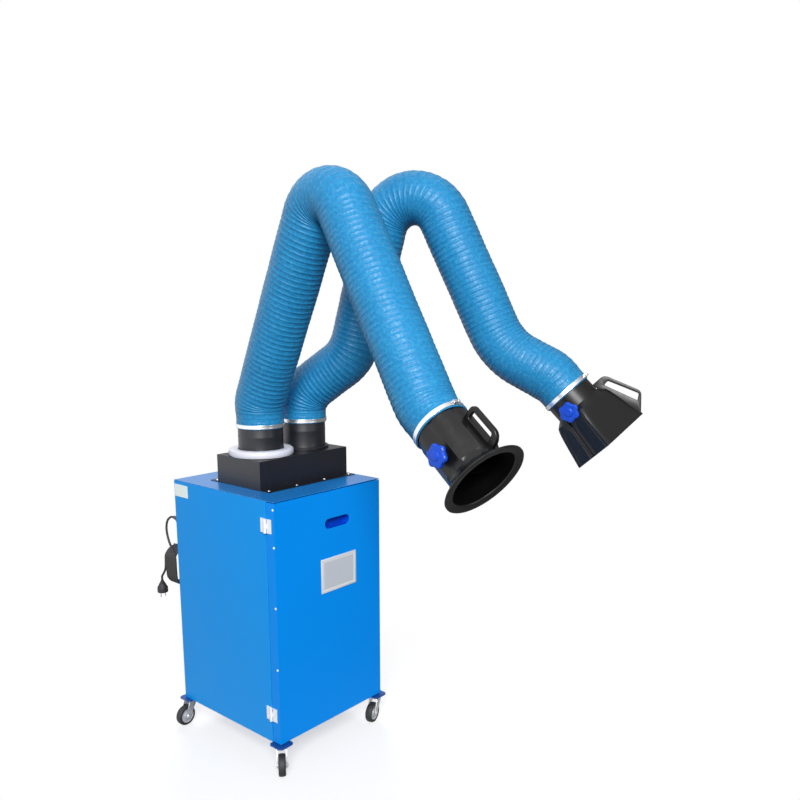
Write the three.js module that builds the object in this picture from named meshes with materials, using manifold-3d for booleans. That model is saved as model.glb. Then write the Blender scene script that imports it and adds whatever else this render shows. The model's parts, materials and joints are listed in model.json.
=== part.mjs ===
// Mobile fume extractor: a wheeled filter cabinet with two jointed hose arms, in millimetres.
// The origin is on the floor under the middle of the cabinet, +Z is up, and the door and the arms face -Y.
import * as THREE from "three";
import { mergeVertices } from "three/addons/utils/BufferGeometryUtils.js";
import Module from "manifold-3d";

const wasm = await Module();
wasm.setup();

// Shared clearances and materials' thicknesses
const GAP = 0.3;
const RUNNING_GAP = 0.6;
const SHEET = 2;

// Sides of round pieces: large shells and discs, and rods and pins
const ROUND_SIDES = 20;
const ROD_SIDES = 8;
const WHEEL_SIDES = 16;

// Cabinet
const CABINET_WIDTH = 480;
const CABINET_DEPTH = 530;
const CABINET_HEIGHT = 815;
const FLOOR_CLEARANCE = 98;
const DOOR_DEPTH = 40;
const DOOR_GAP = 3;
const FRONT_FLANGE = 22;
const BASE_LIP = 30;
const TOP_LIP = 16;

// Door furniture
const SLOT_LENGTH = 112;
const SLOT_HEIGHT = 34;
const SLOT_OFFSET = 32;
const SLOT_DROP = 115;
const HINGE_LENGTH = 46;
const HINGE_LEAF = 20;
const HINGE_LEAF_THICKNESS = 2;
const HINGE_KNUCKLE_RADIUS = 5;
const HINGE_PIN_RADIUS = 2.5;
const UPPER_HINGE_DROP = 80;
const LOWER_HINGE_RISE = 100;

// Casters
const CASTER_PLATE_SIZE = 60;
const CASTER_PLATE_THICKNESS = 5;
const CASTER_INSET = 13;
const WHEEL_RADIUS = 36;
const WHEEL_WIDTH = 24;
const AXLE_RADIUS = 5;
const CASTER_TRAIL = 27;
const FORK_SHEET = 3;
const CASTER_HEADINGS = { front_left: -40, front_right: -75, rear_left: -85, rear_right: -60 };

// Filter and blower inside the cabinet
const SHELF_HEIGHT = 270;
const SHELF_LIP = 18;
const FILTER_RADIUS = 160;
const FILTER_BORE_RADIUS = 110;
const FILTER_HEIGHT = 400;
const FILTER_PLEATS = 20;
const PLEAT_DEPTH = 16;
const FILTER_CAP = 12;
const BLOWER_FLOOR = 135;
const BLOWER_HEIGHT = 114;
const SCROLL_START_RADIUS = 140;
const SCROLL_WALL_CLEARANCE = 23;
const SCROLL_GROWTH = CABINET_WIDTH / 2 - SHEET - SCROLL_WALL_CLEARANCE - SCROLL_START_RADIUS;
const INLET_RADIUS = 92;
const IMPELLER_RADIUS = 118;
const IMPELLER_HEIGHT = 80;
const IMPELLER_BLADES = 6;
const BLADE_THICKNESS = 3;
const IMPELLER_FLOOR_GAP = 8;
const HUB_RADIUS = 24;
const MOTOR_RADIUS = 72;
const MOTOR_FINS = 5;
const FIN_HEIGHT = 7;
const SHAFT_RADIUS = 9;
const SHAFT_HOLE_CLEARANCE = 5;
const BLOWER_SETBACK = -30;

// Rear panel
const GRILLE_BORDER = 16;
const GRILLE_THICKNESS = 3;
const LOUVRES = 7;
const LOUVRE_SHARE = 0.55;

// Plenum box and arm collars
const PLENUM_WIDTH = 398;
const PLENUM_DEPTH = 226;
const PLENUM_HEIGHT = 97;
const PLENUM_EDGE = 8;
const PLENUM_OFFSET = (CABINET_WIDTH - PLENUM_WIDTH) / 2 - PLENUM_EDGE;
const PLENUM_FLANGE = 42;
const COLLAR_SPACING = 196;
const COLLAR_RADIUS = 76;
const COLLAR_HEIGHT = 133;
const COLLAR_FLANGE = 5;
const COLLAR_FLANGE_HEIGHT = 4;
const HOSE_OVERLAP = 40;

// Arm skeleton
const SHOULDER_RISE = 65;
const SHOULDER_REACH = 30;
const LOWER_LINK_LENGTH = 750;
const FOREARM_LENGTH = 750;
const LINK_WIDTH = 24;
const LINK_BAR = 5;
const LINK_CORE = 18;
const PIN_RADIUS = 6;
const PIN_CLEARANCE = 0.4;
const LINK_SPACERS = 2;
const BRACKET_SHEET = 6;

// Hose
const HOSE_RADIUS = 92;
const RIB_DEPTH = 6;
const HOSE_BORE_RADIUS = 80;
const HOSE_RIBS = 70;
const HOSE_SIDES = 8;
const RIBS_PER_BORE_RING = 5;
const CUFF_WALL = 2.2;
const CUFF_TAPER = 60;
const CLAMP_WIDTH = 13;
const CLAMP_THICKNESS = 1.6;
const CLAMP_SCREW = 16;

// Hoods, dampers and knobs
const NECK_START = 32;
const NECK_WALL = 3;
const ROUND_HOOD_LENGTH = 263;
const ROUND_RIM_RADIUS = 120;
const ROUND_MOUTH_RADIUS = 88;
const RIM_FLARE = 44;
const SQUARE_HOOD_LENGTH = 270;
const SQUARE_MOUTH_WIDTH = 193;
const SQUARE_MOUTH_DEPTH = 179;
const SQUARE_MOUTH_CORNER = 6;
const SQUARE_MOUTH_TURN = 28;
const SQUARE_NECK_LENGTH = 86;
const SQUARE_RIBS = 1;
const SQUARE_RIB_HEIGHT = 5;
const SQUARE_RIB_WIDTH = 9;
const HANDLE_LENGTH = 118;
const HANDLE_HEIGHT = 46;
const HANDLE_BAR = 13;
const HANDLE_THICKNESS = 14;
const CORNER_HANDLE_START = 100;
const CORNER_HANDLE_HEIGHT = 45;
const CORNER_HANDLE_LEAN = 0.45;
const CORNER_HANDLE_RETURN = 50;
const CORNER_HANDLE_SETBACK = 6;
const CORNER_HANDLE_SLOT = 17;
const DAMPER_THICKNESS = 3;
const DAMPER_CLEARANCE = 2.5;
const SPINDLE_RADIUS = 5;
const KNOB_RADIUS = 33;
const KNOB_LOBES = 6;
const KNOB_STEPS = 4;
const KNOB_LOBE_DEPTH = 5;
const KNOB_HEIGHT = 20;
const KNOB_STAND_OFF = 9;
const BOSS_RADIUS = 15;

// Mains cord
const CORD_RADIUS = 4;
const CORD_SIDES = 8;
const CORD_STEPS = 18;
const GLAND_SIDES = 12;
const GLAND_LENGTH = 40;
const GLAND_RADIUS = 11;
const GLAND_HEIGHT = 668;
const GLAND_INSET = 18;
const GLAND_OFFSET = GLAND_INSET - CABINET_WIDTH / 2;
const HANK_LOOPS = 7;
const HANK_STEPS = 24;
const HANK_SIDES = 6;
const HANK_BEND_RADIUS = 44;
const HANK_STRAIGHT = 48;
const HANK_PITCH = 9.2;
const HANK_INSET = 52;
const HANK_OFFSET = HANK_INSET - CABINET_WIDTH / 2;
const HANK_HEIGHT = 480;
const HANK_STANDOFF = 30;
const HANK_TAIL = 62;
const HANK_TAIL_SWING = 29;
const PEG_GAP = 0.8;
const PEG_RADIUS = 5;
const PLUG_RADIUS = 19;
const PLUG_LENGTH = 46;
const PLUG_PIN_RADIUS = 2.4;
const PLUG_PIN_LENGTH = 18;

// Rear switch
const SWITCH_INSET = 90;
const SWITCH_OFFSET = CABINET_WIDTH / 2 - SWITCH_INSET;
const SWITCH_HEIGHT = 640;
const SWITCH_SIZE = 44;
const SWITCH_FRAME = 8;
const SWITCH_PROUD = 10;

// How each arm stands: turned about its collar, its links' angles from upright, and its hood's
const ARMS = {
  left: { side: -1, turn: -7, lower: 29.5, forearm: 146.2, hood: 127.2, roll: -4, kind: "round" },
  right: { side: 1, turn: 20, lower: 30, forearm: 139.7, hood: 135.7, roll: 10, kind: "square" },
};

// How each hose runs over its links: its bends, and where it hangs away from a link, along it and across
const LEFT_FOOT_RISE = 28;
const LEFT_ELBOW_RISE = 79;
const LEFT_ELBOW_RADIUS = 118;
const RIGHT_FOOT_RISE = 54;
const RIGHT_ELBOW_RISE = 225;
const RIGHT_ELBOW_RADIUS = 125;
const RIGHT_SWING_ALONG = 165;
const RIGHT_SWING_OUT = 54;
const RIGHT_SAG_ALONG = 521;
const RIGHT_SAG_DOWN = 56;
const HOSE_RUNS = {
  left: { footRise: LEFT_FOOT_RISE, elbowRise: LEFT_ELBOW_RISE, elbowRadius: LEFT_ELBOW_RADIUS },
  right: {
    footRise: RIGHT_FOOT_RISE,
    elbowRise: RIGHT_ELBOW_RISE,
    elbowRadius: RIGHT_ELBOW_RADIUS,
    lowerSwing: [RIGHT_SWING_ALONG, RIGHT_SWING_OUT],
    forearmSag: [RIGHT_SAG_ALONG, RIGHT_SAG_DOWN],
  },
};
const FOOT_BEND_RADIUS = 110;
const SWING_BEND_RADIUS = 160;
const SAG_BEND_RADIUS = 220;
const WRIST_BEND_RADIUS = 160;
const ROUND_DAMPER_BEYOND_HOSE = 93;
const SQUARE_DAMPER_BEYOND_HOSE = 46;
const LEFT_RING_RADIUS = 107;
const LEFT_RING_HEIGHT = 15;
const RIGHT_RING_RADIUS = 87;
const RIGHT_RING_HEIGHT = 9;

// Places worked out from the sizes above
const cabinetFloor = FLOOR_CLEARANCE;
const cabinetTop = FLOOR_CLEARANCE + CABINET_HEIGHT;
const frontFace = -CABINET_DEPTH / 2;
const rearFace = CABINET_DEPTH / 2;
const seam = frontFace + DOOR_DEPTH;
const leftFace = -CABINET_WIDTH / 2;
const plenumTop = cabinetTop + PLENUM_HEIGHT;
const deg = THREE.MathUtils.degToRad;

function paint(color, roughness, metalness) {
  return new THREE.MeshStandardMaterial({ color, roughness, metalness });
}
const finishes = {
  bluePaint: paint(0x0888e0, 0.3, 0),
  darkBluePaint: paint(0x0a3f8c, 0.4, 0),
  blackPaint: paint(0x23242a, 0.45, 0),
  blackPlastic: paint(0x1d1f20, 0.5, 0),
  blueKnob: paint(0x1446dc, 0.35, 0),
  blueFabric: paint(0x3d8fc4, 0.6, 0),
  whitePlastic: paint(0xe8e8ee, 0.4, 0),
  zinc: paint(0xc8ccd0, 0.3, 0.9),
  steel: paint(0x9a9da0, 0.4, 0.9),
  rubber: paint(0x161616, 0.8, 0),
  paper: paint(0xe6e2d6, 0.9, 0),
};

// A closed geometry becomes a solid with its faces turned outwards.
function solid(geometry) {
  const plain = new THREE.BufferGeometry();
  const flat = geometry.index ? geometry.toNonIndexed() : geometry;
  plain.setAttribute("position", flat.getAttribute("position").clone());
  const merged = mergeVertices(plain, 1e-4);
  const corners = [];
  for (let i = 0; i < merged.index.count; i += 3) {
    const [a, b, c] = [0, 1, 2].map((k) => merged.index.getX(i + k));
    if (a !== b && b !== c && c !== a) corners.push(a, b, c);
  }
  const vertProperties = new Float32Array(merged.getAttribute("position").array);
  const wrap = (triVerts) => new wasm.Manifold(new wasm.Mesh({ numProp: 3, vertProperties, triVerts }));
  const made = wrap(new Uint32Array(corners));
  return made.volume() < 0 ? wrap(new Uint32Array(corners).reverse()) : made;
}

function geometryOf(made) {
  const { vertProperties, triVerts, numProp } = made.getMesh();
  const points = new Float32Array((vertProperties.length / numProp) * 3);
  for (let i = 0; i < points.length / 3; i += 1) {
    points.set(vertProperties.subarray(i * numProp, i * numProp + 3), i * 3);
  }
  const geometry = new THREE.BufferGeometry();
  geometry.setAttribute("position", new THREE.BufferAttribute(points, 3));
  geometry.setIndex(new THREE.BufferAttribute(triVerts, 1));
  return geometry;
}

const join = (first, ...others) => geometryOf(others.reduce((sum, g) => sum.add(solid(g)), solid(first)));
const cut = (first, ...others) => geometryOf(others.reduce((rest, g) => rest.subtract(solid(g)), solid(first)));
const tidy = (geometry) => geometryOf(solid(geometry));

// Boxes are given by their low and high corners.
function block(low, high) {
  const size = high.map((v, i) => v - low[i]);
  const box = new THREE.BoxGeometry(...size);
  return box.translate(...low.map((v, i) => v + size[i] / 2));
}

function rod(radius, low, high, sides = ROD_SIDES) {
  const bar = new THREE.CylinderGeometry(radius, radius, high - low, sides);
  return bar.rotateX(Math.PI / 2).translate(0, 0, (low + high) / 2);
}

// The corner radius of a hole whose flat sides clear a round piece by a gap
const holeRadius = (radius, gap, sides = ROD_SIDES) => (radius + gap) / Math.cos(Math.PI / sides);

// A round rod along X instead of Z.
const rodX = (radius, low, high, sides = ROD_SIDES) => rod(radius, low, high, sides).rotateY(Math.PI / 2);

// A profile of [radius, height] pairs turned about Z. A profile off the axis closes on itself.
function turned(profile, sides = ROUND_SIDES) {
  const points = profile.map(([r, h]) => new THREE.Vector2(r, h));
  if (profile[0][0] > 0) points.push(points[0].clone());
  return new THREE.LatheGeometry(points, sides).rotateX(Math.PI / 2);
}

function tube(outer, inner, low, high, sides = ROUND_SIDES) {
  return turned([[inner, low], [outer, low], [outer, high], [inner, high]], sides);
}

function extruded(shape, depth, curveSegments = 3) {
  return new THREE.ExtrudeGeometry(shape, { depth, bevelEnabled: false, curveSegments });
}

function outline(points) {
  return new THREE.Shape(points.map(([x, y]) => new THREE.Vector2(x, y)));
}

// A rounded rectangle or a slot with round ends, centred on the origin.
function roundedRectangle(width, height, radius) {
  const [x, y] = [width / 2 - radius, height / 2 - radius];
  const shape = new THREE.Shape();
  shape.absarc(x, y, radius, 0, Math.PI / 2);
  shape.absarc(-x, y, radius, Math.PI / 2, Math.PI);
  shape.absarc(-x, -y, radius, Math.PI, Math.PI * 1.5);
  shape.absarc(x, -y, radius, Math.PI * 1.5, Math.PI * 2);
  return shape;
}

// Faces between rings of the same number of points. The last ring joins the first one.
function ringLoft(rings) {
  const sides = rings[0].length;
  const positions = rings.flat().flatMap((p) => [p.x, p.y, p.z]);
  const index = [];
  rings.forEach((_, i) => {
    const [here, next] = [i * sides, ((i + 1) % rings.length) * sides];
    for (let k = 0; k < sides; k += 1) {
      const after = (k + 1) % sides;
      index.push(here + k, here + after, next + after, here + k, next + after, next + k);
    }
  });
  const geometry = new THREE.BufferGeometry();
  geometry.setAttribute("position", new THREE.Float32BufferAttribute(positions, 3));
  geometry.setIndex(index);
  return geometry;
}

const part = new THREE.Group();

function addTo(group, name, geometry, material) {
  const mesh = new THREE.Mesh(geometry, material);
  mesh.name = name;
  group.add(mesh);
  return mesh;
}
const add = (name, geometry, material) => addTo(part, name, geometry, material);

// Cabinet: a folded wrap, a base pan, a top panel and the door
const insideX = CABINET_WIDTH / 2 - SHEET;
const topUnderside = cabinetTop - SHEET;

function scrollOutline(inset, mouth) {
  const steps = 20;
  const points = [];
  for (let i = 0; i <= steps; i += 1) {
    const angle = (i / steps) * Math.PI * 2;
    const radius = SCROLL_START_RADIUS + (SCROLL_GROWTH * i) / steps - inset;
    points.push([radius * Math.cos(angle), BLOWER_SETBACK + radius * Math.sin(angle)]);
  }
  points[0] = [SCROLL_START_RADIUS - inset, BLOWER_SETBACK - inset];
  const ductOuter = SCROLL_START_RADIUS + SCROLL_GROWTH - inset;
  const ductInner = SCROLL_START_RADIUS + inset;
  points.push([ductOuter, mouth], [ductInner, mouth], [ductInner, BLOWER_SETBACK - inset]);
  return points;
}

// The blower's outlet in the rear panel, shared by the scroll, the panel and the grille.
const outletLow = cabinetFloor + BLOWER_FLOOR;
const outletHigh = outletLow + BLOWER_HEIGHT;
const outletLeft = SCROLL_START_RADIUS;
const outletRight = SCROLL_START_RADIUS + SCROLL_GROWTH;

function cabinetShell() {
  const [w, f] = [CABINET_WIDTH / 2, seam];
  const wrap = outline([
    [-w, f], [-w + FRONT_FLANGE, f], [-w + FRONT_FLANGE, f + SHEET], [-w + SHEET, f + SHEET],
    [-w + SHEET, rearFace - SHEET], [w - SHEET, rearFace - SHEET], [w - SHEET, f + SHEET],
    [w - FRONT_FLANGE, f + SHEET], [w - FRONT_FLANGE, f], [w, f], [w, rearFace], [-w, rearFace],
  ]);
  const walls = extruded(wrap, topUnderside - GAP - cabinetFloor).translate(0, 0, cabinetFloor);
  const outlet = block(
    [outletLeft + SHEET, rearFace - 2 * SHEET, outletLow + SHEET],
    [outletRight - SHEET, rearFace + SHEET, outletHigh - SHEET],
  );
  const glandHole = rod(holeRadius(GLAND_RADIUS, GAP, GLAND_SIDES), -2 * SHEET, SHEET, GLAND_SIDES)
    .rotateX(-Math.PI / 2)
    .translate(GLAND_OFFSET, rearFace, cabinetFloor + GLAND_HEIGHT);
  const switchHole = block(
    [SWITCH_OFFSET - SWITCH_SIZE / 2, rearFace - 2 * SHEET, cabinetFloor + SWITCH_HEIGHT - SWITCH_SIZE / 2],
    [SWITCH_OFFSET + SWITCH_SIZE / 2, rearFace + SHEET, cabinetFloor + SWITCH_HEIGHT + SWITCH_SIZE / 2],
  );
  return cut(walls, outlet, glandHole, switchHole);
}

function basePan() {
  const [x, y0, y1] = [insideX - GAP, seam + SHEET + GAP, rearFace - SHEET - GAP];
  const tray = block([-x, y0, cabinetFloor], [x, y1, cabinetFloor + BASE_LIP]);
  const hollow = block(
    [-x + SHEET, y0 + SHEET, cabinetFloor + SHEET],
    [x - SHEET, y1 - SHEET, cabinetFloor + BASE_LIP + SHEET],
  );
  return cut(tray, hollow);
}

const plenumLeft = PLENUM_OFFSET - PLENUM_WIDTH / 2;
const plenumRight = PLENUM_OFFSET + PLENUM_WIDTH / 2;

function topPanel() {
  const w = CABINET_WIDTH / 2;
  const sheet = block([-w, frontFace, topUnderside], [w, rearFace, cabinetTop]);
  const lip = [insideX - GAP, seam + SHEET + GAP, rearFace - SHEET - GAP];
  const collar = cut(
    block([-lip[0], lip[1], topUnderside - TOP_LIP], [lip[0], lip[2], topUnderside + SHEET / 2]),
    block(
      [-lip[0] + SHEET, lip[1] + SHEET, topUnderside - 2 * TOP_LIP],
      [lip[0] - SHEET, lip[2] - SHEET, topUnderside],
    ),
  );
  const airway = block(
    [plenumLeft + TOP_LIP, -PLENUM_DEPTH / 2 + TOP_LIP, topUnderside - SHEET],
    [plenumRight - TOP_LIP, PLENUM_DEPTH / 2 - TOP_LIP, cabinetTop + SHEET],
  );
  return cut(join(sheet, collar), airway);
}

const doorLow = cabinetFloor + DOOR_GAP;
const doorHigh = topUnderside - DOOR_GAP;
const slotHeight = cabinetTop - SLOT_DROP;

function frontDoor() {
  const [w, back] = [CABINET_WIDTH / 2, seam - DOOR_GAP];
  const pan = block([-w, frontFace, doorLow], [w, back, doorHigh]);
  const hollow = block([-w + SHEET, frontFace + SHEET, doorLow + SHEET], [w - SHEET, back + SHEET, doorHigh - SHEET]);
  const slot = extruded(roundedRectangle(SLOT_LENGTH, SLOT_HEIGHT, SLOT_HEIGHT / 2 - 1), 4 * SHEET)
    .rotateX(Math.PI / 2)
    .translate(SLOT_OFFSET, frontFace + 3 * SHEET, slotHeight);
  return cut(pan, hollow, slot);
}

add("cabinet_shell", cabinetShell(), finishes.bluePaint);
add("base_pan", basePan(), finishes.bluePaint);
add("top_panel", topPanel(), finishes.bluePaint);
add("front_door", frontDoor(), finishes.bluePaint);

// Door hinges: the frame's leaf carries the pin, the door's leaf the middle knuckle.
const hingeX = leftFace - HINGE_KNUCKLE_RADIUS - GAP;
const hingeY = seam - DOOR_GAP / 2;

function hingeLeaf(onDoor) {
  const third = HINGE_LENGTH / 3;
  const toward = onDoor ? -1 : 1;
  const plateNear = hingeY + toward * (HINGE_KNUCKLE_RADIUS + GAP);
  const plateFar = plateNear + toward * HINGE_LEAF;
  const outside = leftFace - GAP;
  const leaf = block(
    [outside - HINGE_LEAF_THICKNESS, Math.min(plateNear, plateFar), 0],
    [outside, Math.max(plateNear, plateFar), HINGE_LENGTH],
  );
  const ends = onDoor ? [[third + GAP, 2 * third - GAP]] : [[0, third], [2 * third, HINGE_LENGTH]];
  const web = ends.map(([low, high]) =>
    block(
      [outside - HINGE_LEAF_THICKNESS, Math.min(hingeY, plateNear), low],
      [outside, Math.max(hingeY, plateNear), high],
    ),
  );
  const knuckles = ends.map(([low, high]) => rod(HINGE_KNUCKLE_RADIUS, low, high).translate(hingeX, hingeY, 0));
  const whole = join(leaf, ...web, ...knuckles);
  const pin = (radius, over) => rod(radius, -over, HINGE_LENGTH + over).translate(hingeX, hingeY, 0);
  return onDoor ? cut(whole, pin(holeRadius(HINGE_PIN_RADIUS, GAP), 1)) : join(whole, pin(HINGE_PIN_RADIUS, 0));
}

const hingeHeights = {
  upper: cabinetTop - UPPER_HINGE_DROP - HINGE_LENGTH / 2,
  lower: cabinetFloor + LOWER_HINGE_RISE - HINGE_LENGTH / 2,
};
Object.entries(hingeHeights).forEach(([place, height]) => {
  add(place + "_hinge_frame_leaf", hingeLeaf(false).translate(0, 0, height), finishes.whitePlastic);
  add(place + "_hinge_door_leaf", hingeLeaf(true).translate(0, 0, height), finishes.whitePlastic);
});

// Casters: a fixed corner plate, a swivelling fork with its axle, and a wheel
const wheelCentre = -FLOOR_CLEARANCE + WHEEL_RADIUS;
const plateUnderside = -CASTER_PLATE_THICKNESS - GAP;
const crownTop = plateUnderside - GAP;
const crownHeight = 9;

function casterPlate() {
  const [half, edge] = [CASTER_PLATE_SIZE / 2, CASTER_PLATE_SIZE / 2 - 8];
  const plate = outline([
    [-half, -edge], [-edge, -half], [edge, -half], [half, -edge], [half, edge], [edge, half], [-edge, half], [-half, edge],
  ]);
  return tidy(extruded(plate, CASTER_PLATE_THICKNESS).translate(0, 0, plateUnderside));
}

function casterFork() {
  const inside = WHEEL_WIDTH / 2 + 2;
  const outside = inside + FORK_SHEET;
  const crown = turned(
    [[0, crownTop - crownHeight], [outside, crownTop - crownHeight], [outside + 4, crownTop], [0, crownTop]],
    ROD_SIDES,
  );
  const crownEdge = outside + 2;
  const leg = outline([
    [-crownEdge, crownTop - crownHeight / 2], [-CASTER_TRAIL - 9, wheelCentre + 4], [-CASTER_TRAIL - 7, wheelCentre - 9],
    [-CASTER_TRAIL + 7, wheelCentre - 9], [crownEdge - 4, crownTop - crownHeight / 2],
  ]);
  const cheek = (x) => extruded(leg, FORK_SHEET).rotateX(Math.PI / 2).rotateZ(Math.PI / 2).translate(x, 0, 0);
  const axle = rodX(AXLE_RADIUS, -outside - 3, outside + 3).translate(0, -CASTER_TRAIL, wheelCentre);
  return join(crown, cheek(-outside), cheek(inside), axle);
}

function casterWheel() {
  const [half, bore, hub] = [WHEEL_WIDTH / 2, holeRadius(AXLE_RADIUS, GAP, WHEEL_SIDES), 12];
  const dish = 5;
  const profile = [
    [bore, -half - 1], [hub, -half - 1], [WHEEL_RADIUS - 9, -half + dish], [WHEEL_RADIUS - 4, -half],
    [WHEEL_RADIUS, -half + 4], [WHEEL_RADIUS, half - 4], [WHEEL_RADIUS - 4, half], [WHEEL_RADIUS - 9, half - dish],
    [hub, half + 1], [bore, half + 1],
  ];
  return tidy(turned(profile, WHEEL_SIDES).rotateZ(Math.PI / WHEEL_SIDES).rotateY(Math.PI / 2));
}

for (const [place, heading] of Object.entries(CASTER_HEADINGS)) {
  const corner = new THREE.Group();
  const [across, along] = [place.includes("left") ? -1 : 1, place.includes("front") ? -1 : 1];
  corner.position.set(
    across * (CABINET_WIDTH / 2 - CASTER_INSET),
    along * (CABINET_DEPTH / 2 - CASTER_INSET),
    cabinetFloor,
  );
  part.add(corner);
  addTo(corner, "caster_plate_" + place, casterPlate(), finishes.darkBluePaint);
  const swivel = new THREE.Group();
  swivel.rotation.z = deg(heading);
  corner.add(swivel);
  addTo(swivel, "caster_fork_" + place, casterFork(), finishes.zinc);
  const wheel = addTo(swivel, "caster_wheel_" + place, casterWheel(), finishes.rubber);
  wheel.position.set(0, -CASTER_TRAIL, wheelCentre);
}

// Filter, shelf and blower
const shelfTop = cabinetFloor + SHELF_HEIGHT;

function filterShelf() {
  const [x, y0, y1] = [insideX - GAP, seam + SHEET + GAP, rearFace - SHEET - GAP];
  const tray = cut(
    block([-x, y0, shelfTop - SHELF_LIP], [x, y1, shelfTop]),
    block([-x + SHEET, y0 + SHEET, shelfTop - 2 * SHELF_LIP], [x - SHEET, y1 - SHEET, shelfTop - SHEET]),
  );
  const hole = rod(INLET_RADIUS, shelfTop - 2 * SHEET, shelfTop + SHEET, ROUND_SIDES).translate(0, BLOWER_SETBACK, 0);
  return cut(tray, hole);
}

function filterCartridge() {
  const low = shelfTop + GAP;
  const points = [];
  for (let i = 0; i < 2 * FILTER_PLEATS; i += 1) {
    const angle = (i / FILTER_PLEATS) * Math.PI;
    const radius = FILTER_RADIUS - (i % 2 ? PLEAT_DEPTH : 2);
    points.push([radius * Math.cos(angle), radius * Math.sin(angle)]);
  }
  const pleats = extruded(outline(points), FILTER_HEIGHT).translate(0, 0, low);
  const foot = rod(FILTER_RADIUS, low, low + FILTER_CAP, ROUND_SIDES);
  const cap = rod(FILTER_RADIUS, low + FILTER_HEIGHT - FILTER_CAP, low + FILTER_HEIGHT, ROUND_SIDES);
  const bore = rod(FILTER_BORE_RADIUS, low - 1, low + FILTER_HEIGHT - FILTER_CAP, ROUND_SIDES);
  return cut(join(pleats, foot, cap), bore).translate(0, BLOWER_SETBACK, 0);
}

function blowerHousing() {
  const mouth = rearFace - SHEET - GAP;
  const drum = extruded(outline(scrollOutline(0, mouth)), BLOWER_HEIGHT).translate(0, 0, outletLow);
  const hollow = extruded(outline(scrollOutline(SHEET, mouth + SHEET)), BLOWER_HEIGHT - 2 * SHEET);
  const inletTop = shelfTop - SHEET - GAP;
  const inlet = rod(INLET_RADIUS + SHEET, outletHigh - SHEET, inletTop, ROUND_SIDES).translate(0, BLOWER_SETBACK, 0);
  const inletBore = rod(INLET_RADIUS, outletHigh - 2 * SHEET, inletTop + SHEET, ROUND_SIDES).translate(0, BLOWER_SETBACK, 0);
  const shaftHole = rod(SHAFT_RADIUS + SHAFT_HOLE_CLEARANCE, outletLow - SHEET, outletLow + 2 * SHEET)
    .translate(0, BLOWER_SETBACK, 0);
  return cut(join(drum, inlet), hollow.translate(0, 0, outletLow + SHEET), inletBore, shaftHole);
}

const impellerLow = outletLow + SHEET + IMPELLER_FLOOR_GAP;
const shaftTop = impellerLow + 40;

function blowerMotor() {
  const low = cabinetFloor + SHEET + GAP;
  const high = outletLow - GAP;
  const body = turned([
    [0, low], [MOTOR_RADIUS - 6, low], [MOTOR_RADIUS, low + 8], [MOTOR_RADIUS, high - 14], [MOTOR_RADIUS + 14, high - 14],
    [MOTOR_RADIUS + 14, high], [SHAFT_RADIUS, high], [SHAFT_RADIUS, shaftTop], [0, shaftTop],
  ]);
  const fins = Array.from({ length: MOTOR_FINS }, (_, i) =>
    block([MOTOR_RADIUS - 4, -2, low + 14], [MOTOR_RADIUS + FIN_HEIGHT, 2, high - 24])
      .rotateZ(((i + 0.5) / MOTOR_FINS) * Math.PI * 2),
  );
  return join(body, ...fins).translate(0, BLOWER_SETBACK, 0);
}

function impellerWheel() {
  const high = impellerLow + IMPELLER_HEIGHT;
  const bore = holeRadius(SHAFT_RADIUS, GAP, ROUND_SIDES);
  const plate = tube(IMPELLER_RADIUS, bore, impellerLow, impellerLow + BLADE_THICKNESS);
  const hub = tube(HUB_RADIUS, bore, impellerLow, shaftTop);
  const shroud = turned([
    [INLET_RADIUS - 6, high], [IMPELLER_RADIUS, high - 12], [IMPELLER_RADIUS, high - 12 - BLADE_THICKNESS],
    [INLET_RADIUS - 6, high - BLADE_THICKNESS],
  ]);
  const bladeArc = new THREE.Shape();
  const bend = IMPELLER_RADIUS * 0.8;
  bladeArc.absarc(0, 0, bend, deg(-38), deg(38), false);
  bladeArc.absarc(0, 0, bend - BLADE_THICKNESS, deg(38), deg(-38), true);
  const middle = (IMPELLER_RADIUS + HUB_RADIUS * 2) / 2;
  const blades = Array.from({ length: IMPELLER_BLADES }, (_, i) =>
    extruded(bladeArc, IMPELLER_HEIGHT - 13, 2)
      .translate(-bend * 0.93, 0, impellerLow + 1)
      .rotateZ(deg(58))
      .translate(middle, 0, 0)
      .rotateZ((i / IMPELLER_BLADES) * Math.PI * 2),
  );
  return join(plate, hub, shroud, ...blades).translate(0, BLOWER_SETBACK, 0);
}

function exhaustGrille() {
  const [width, height] = [SCROLL_GROWTH, BLOWER_HEIGHT];
  const plate = roundedRectangle(width + 2 * GRILLE_BORDER, height + 2 * GRILLE_BORDER, 6);
  const pitch = (height - 2 * SHEET) / LOUVRES;
  for (let i = 0; i < LOUVRES; i += 1) {
    const middle = -height / 2 + SHEET + pitch * (i + 0.5);
    const [x, y] = [width / 2 - SHEET, (pitch * LOUVRE_SHARE) / 2];
    plate.holes.push(new THREE.Path(
      [[-x, middle - y], [-x, middle + y], [x, middle + y], [x, middle - y]].map((p) => new THREE.Vector2(...p)),
    ));
  }
  const panel = extruded(plate, GRILLE_THICKNESS, 3).rotateX(Math.PI / 2);
  return tidy(panel.translate((outletLeft + outletRight) / 2, rearFace + GAP + GRILLE_THICKNESS, (outletLow + outletHigh) / 2));
}

add("filter_shelf", filterShelf(), finishes.zinc);
add("filter_cartridge", filterCartridge(), finishes.paper);
add("blower_housing", blowerHousing(), finishes.zinc);
add("blower_motor", blowerMotor(), finishes.darkBluePaint);
add("impeller", impellerWheel(), finishes.steel);
add("exhaust_grille", exhaustGrille(), finishes.blackPaint);

// Plenum box under the two collars
const collarX = (side) => PLENUM_OFFSET + (side * COLLAR_SPACING) / 2;

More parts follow.
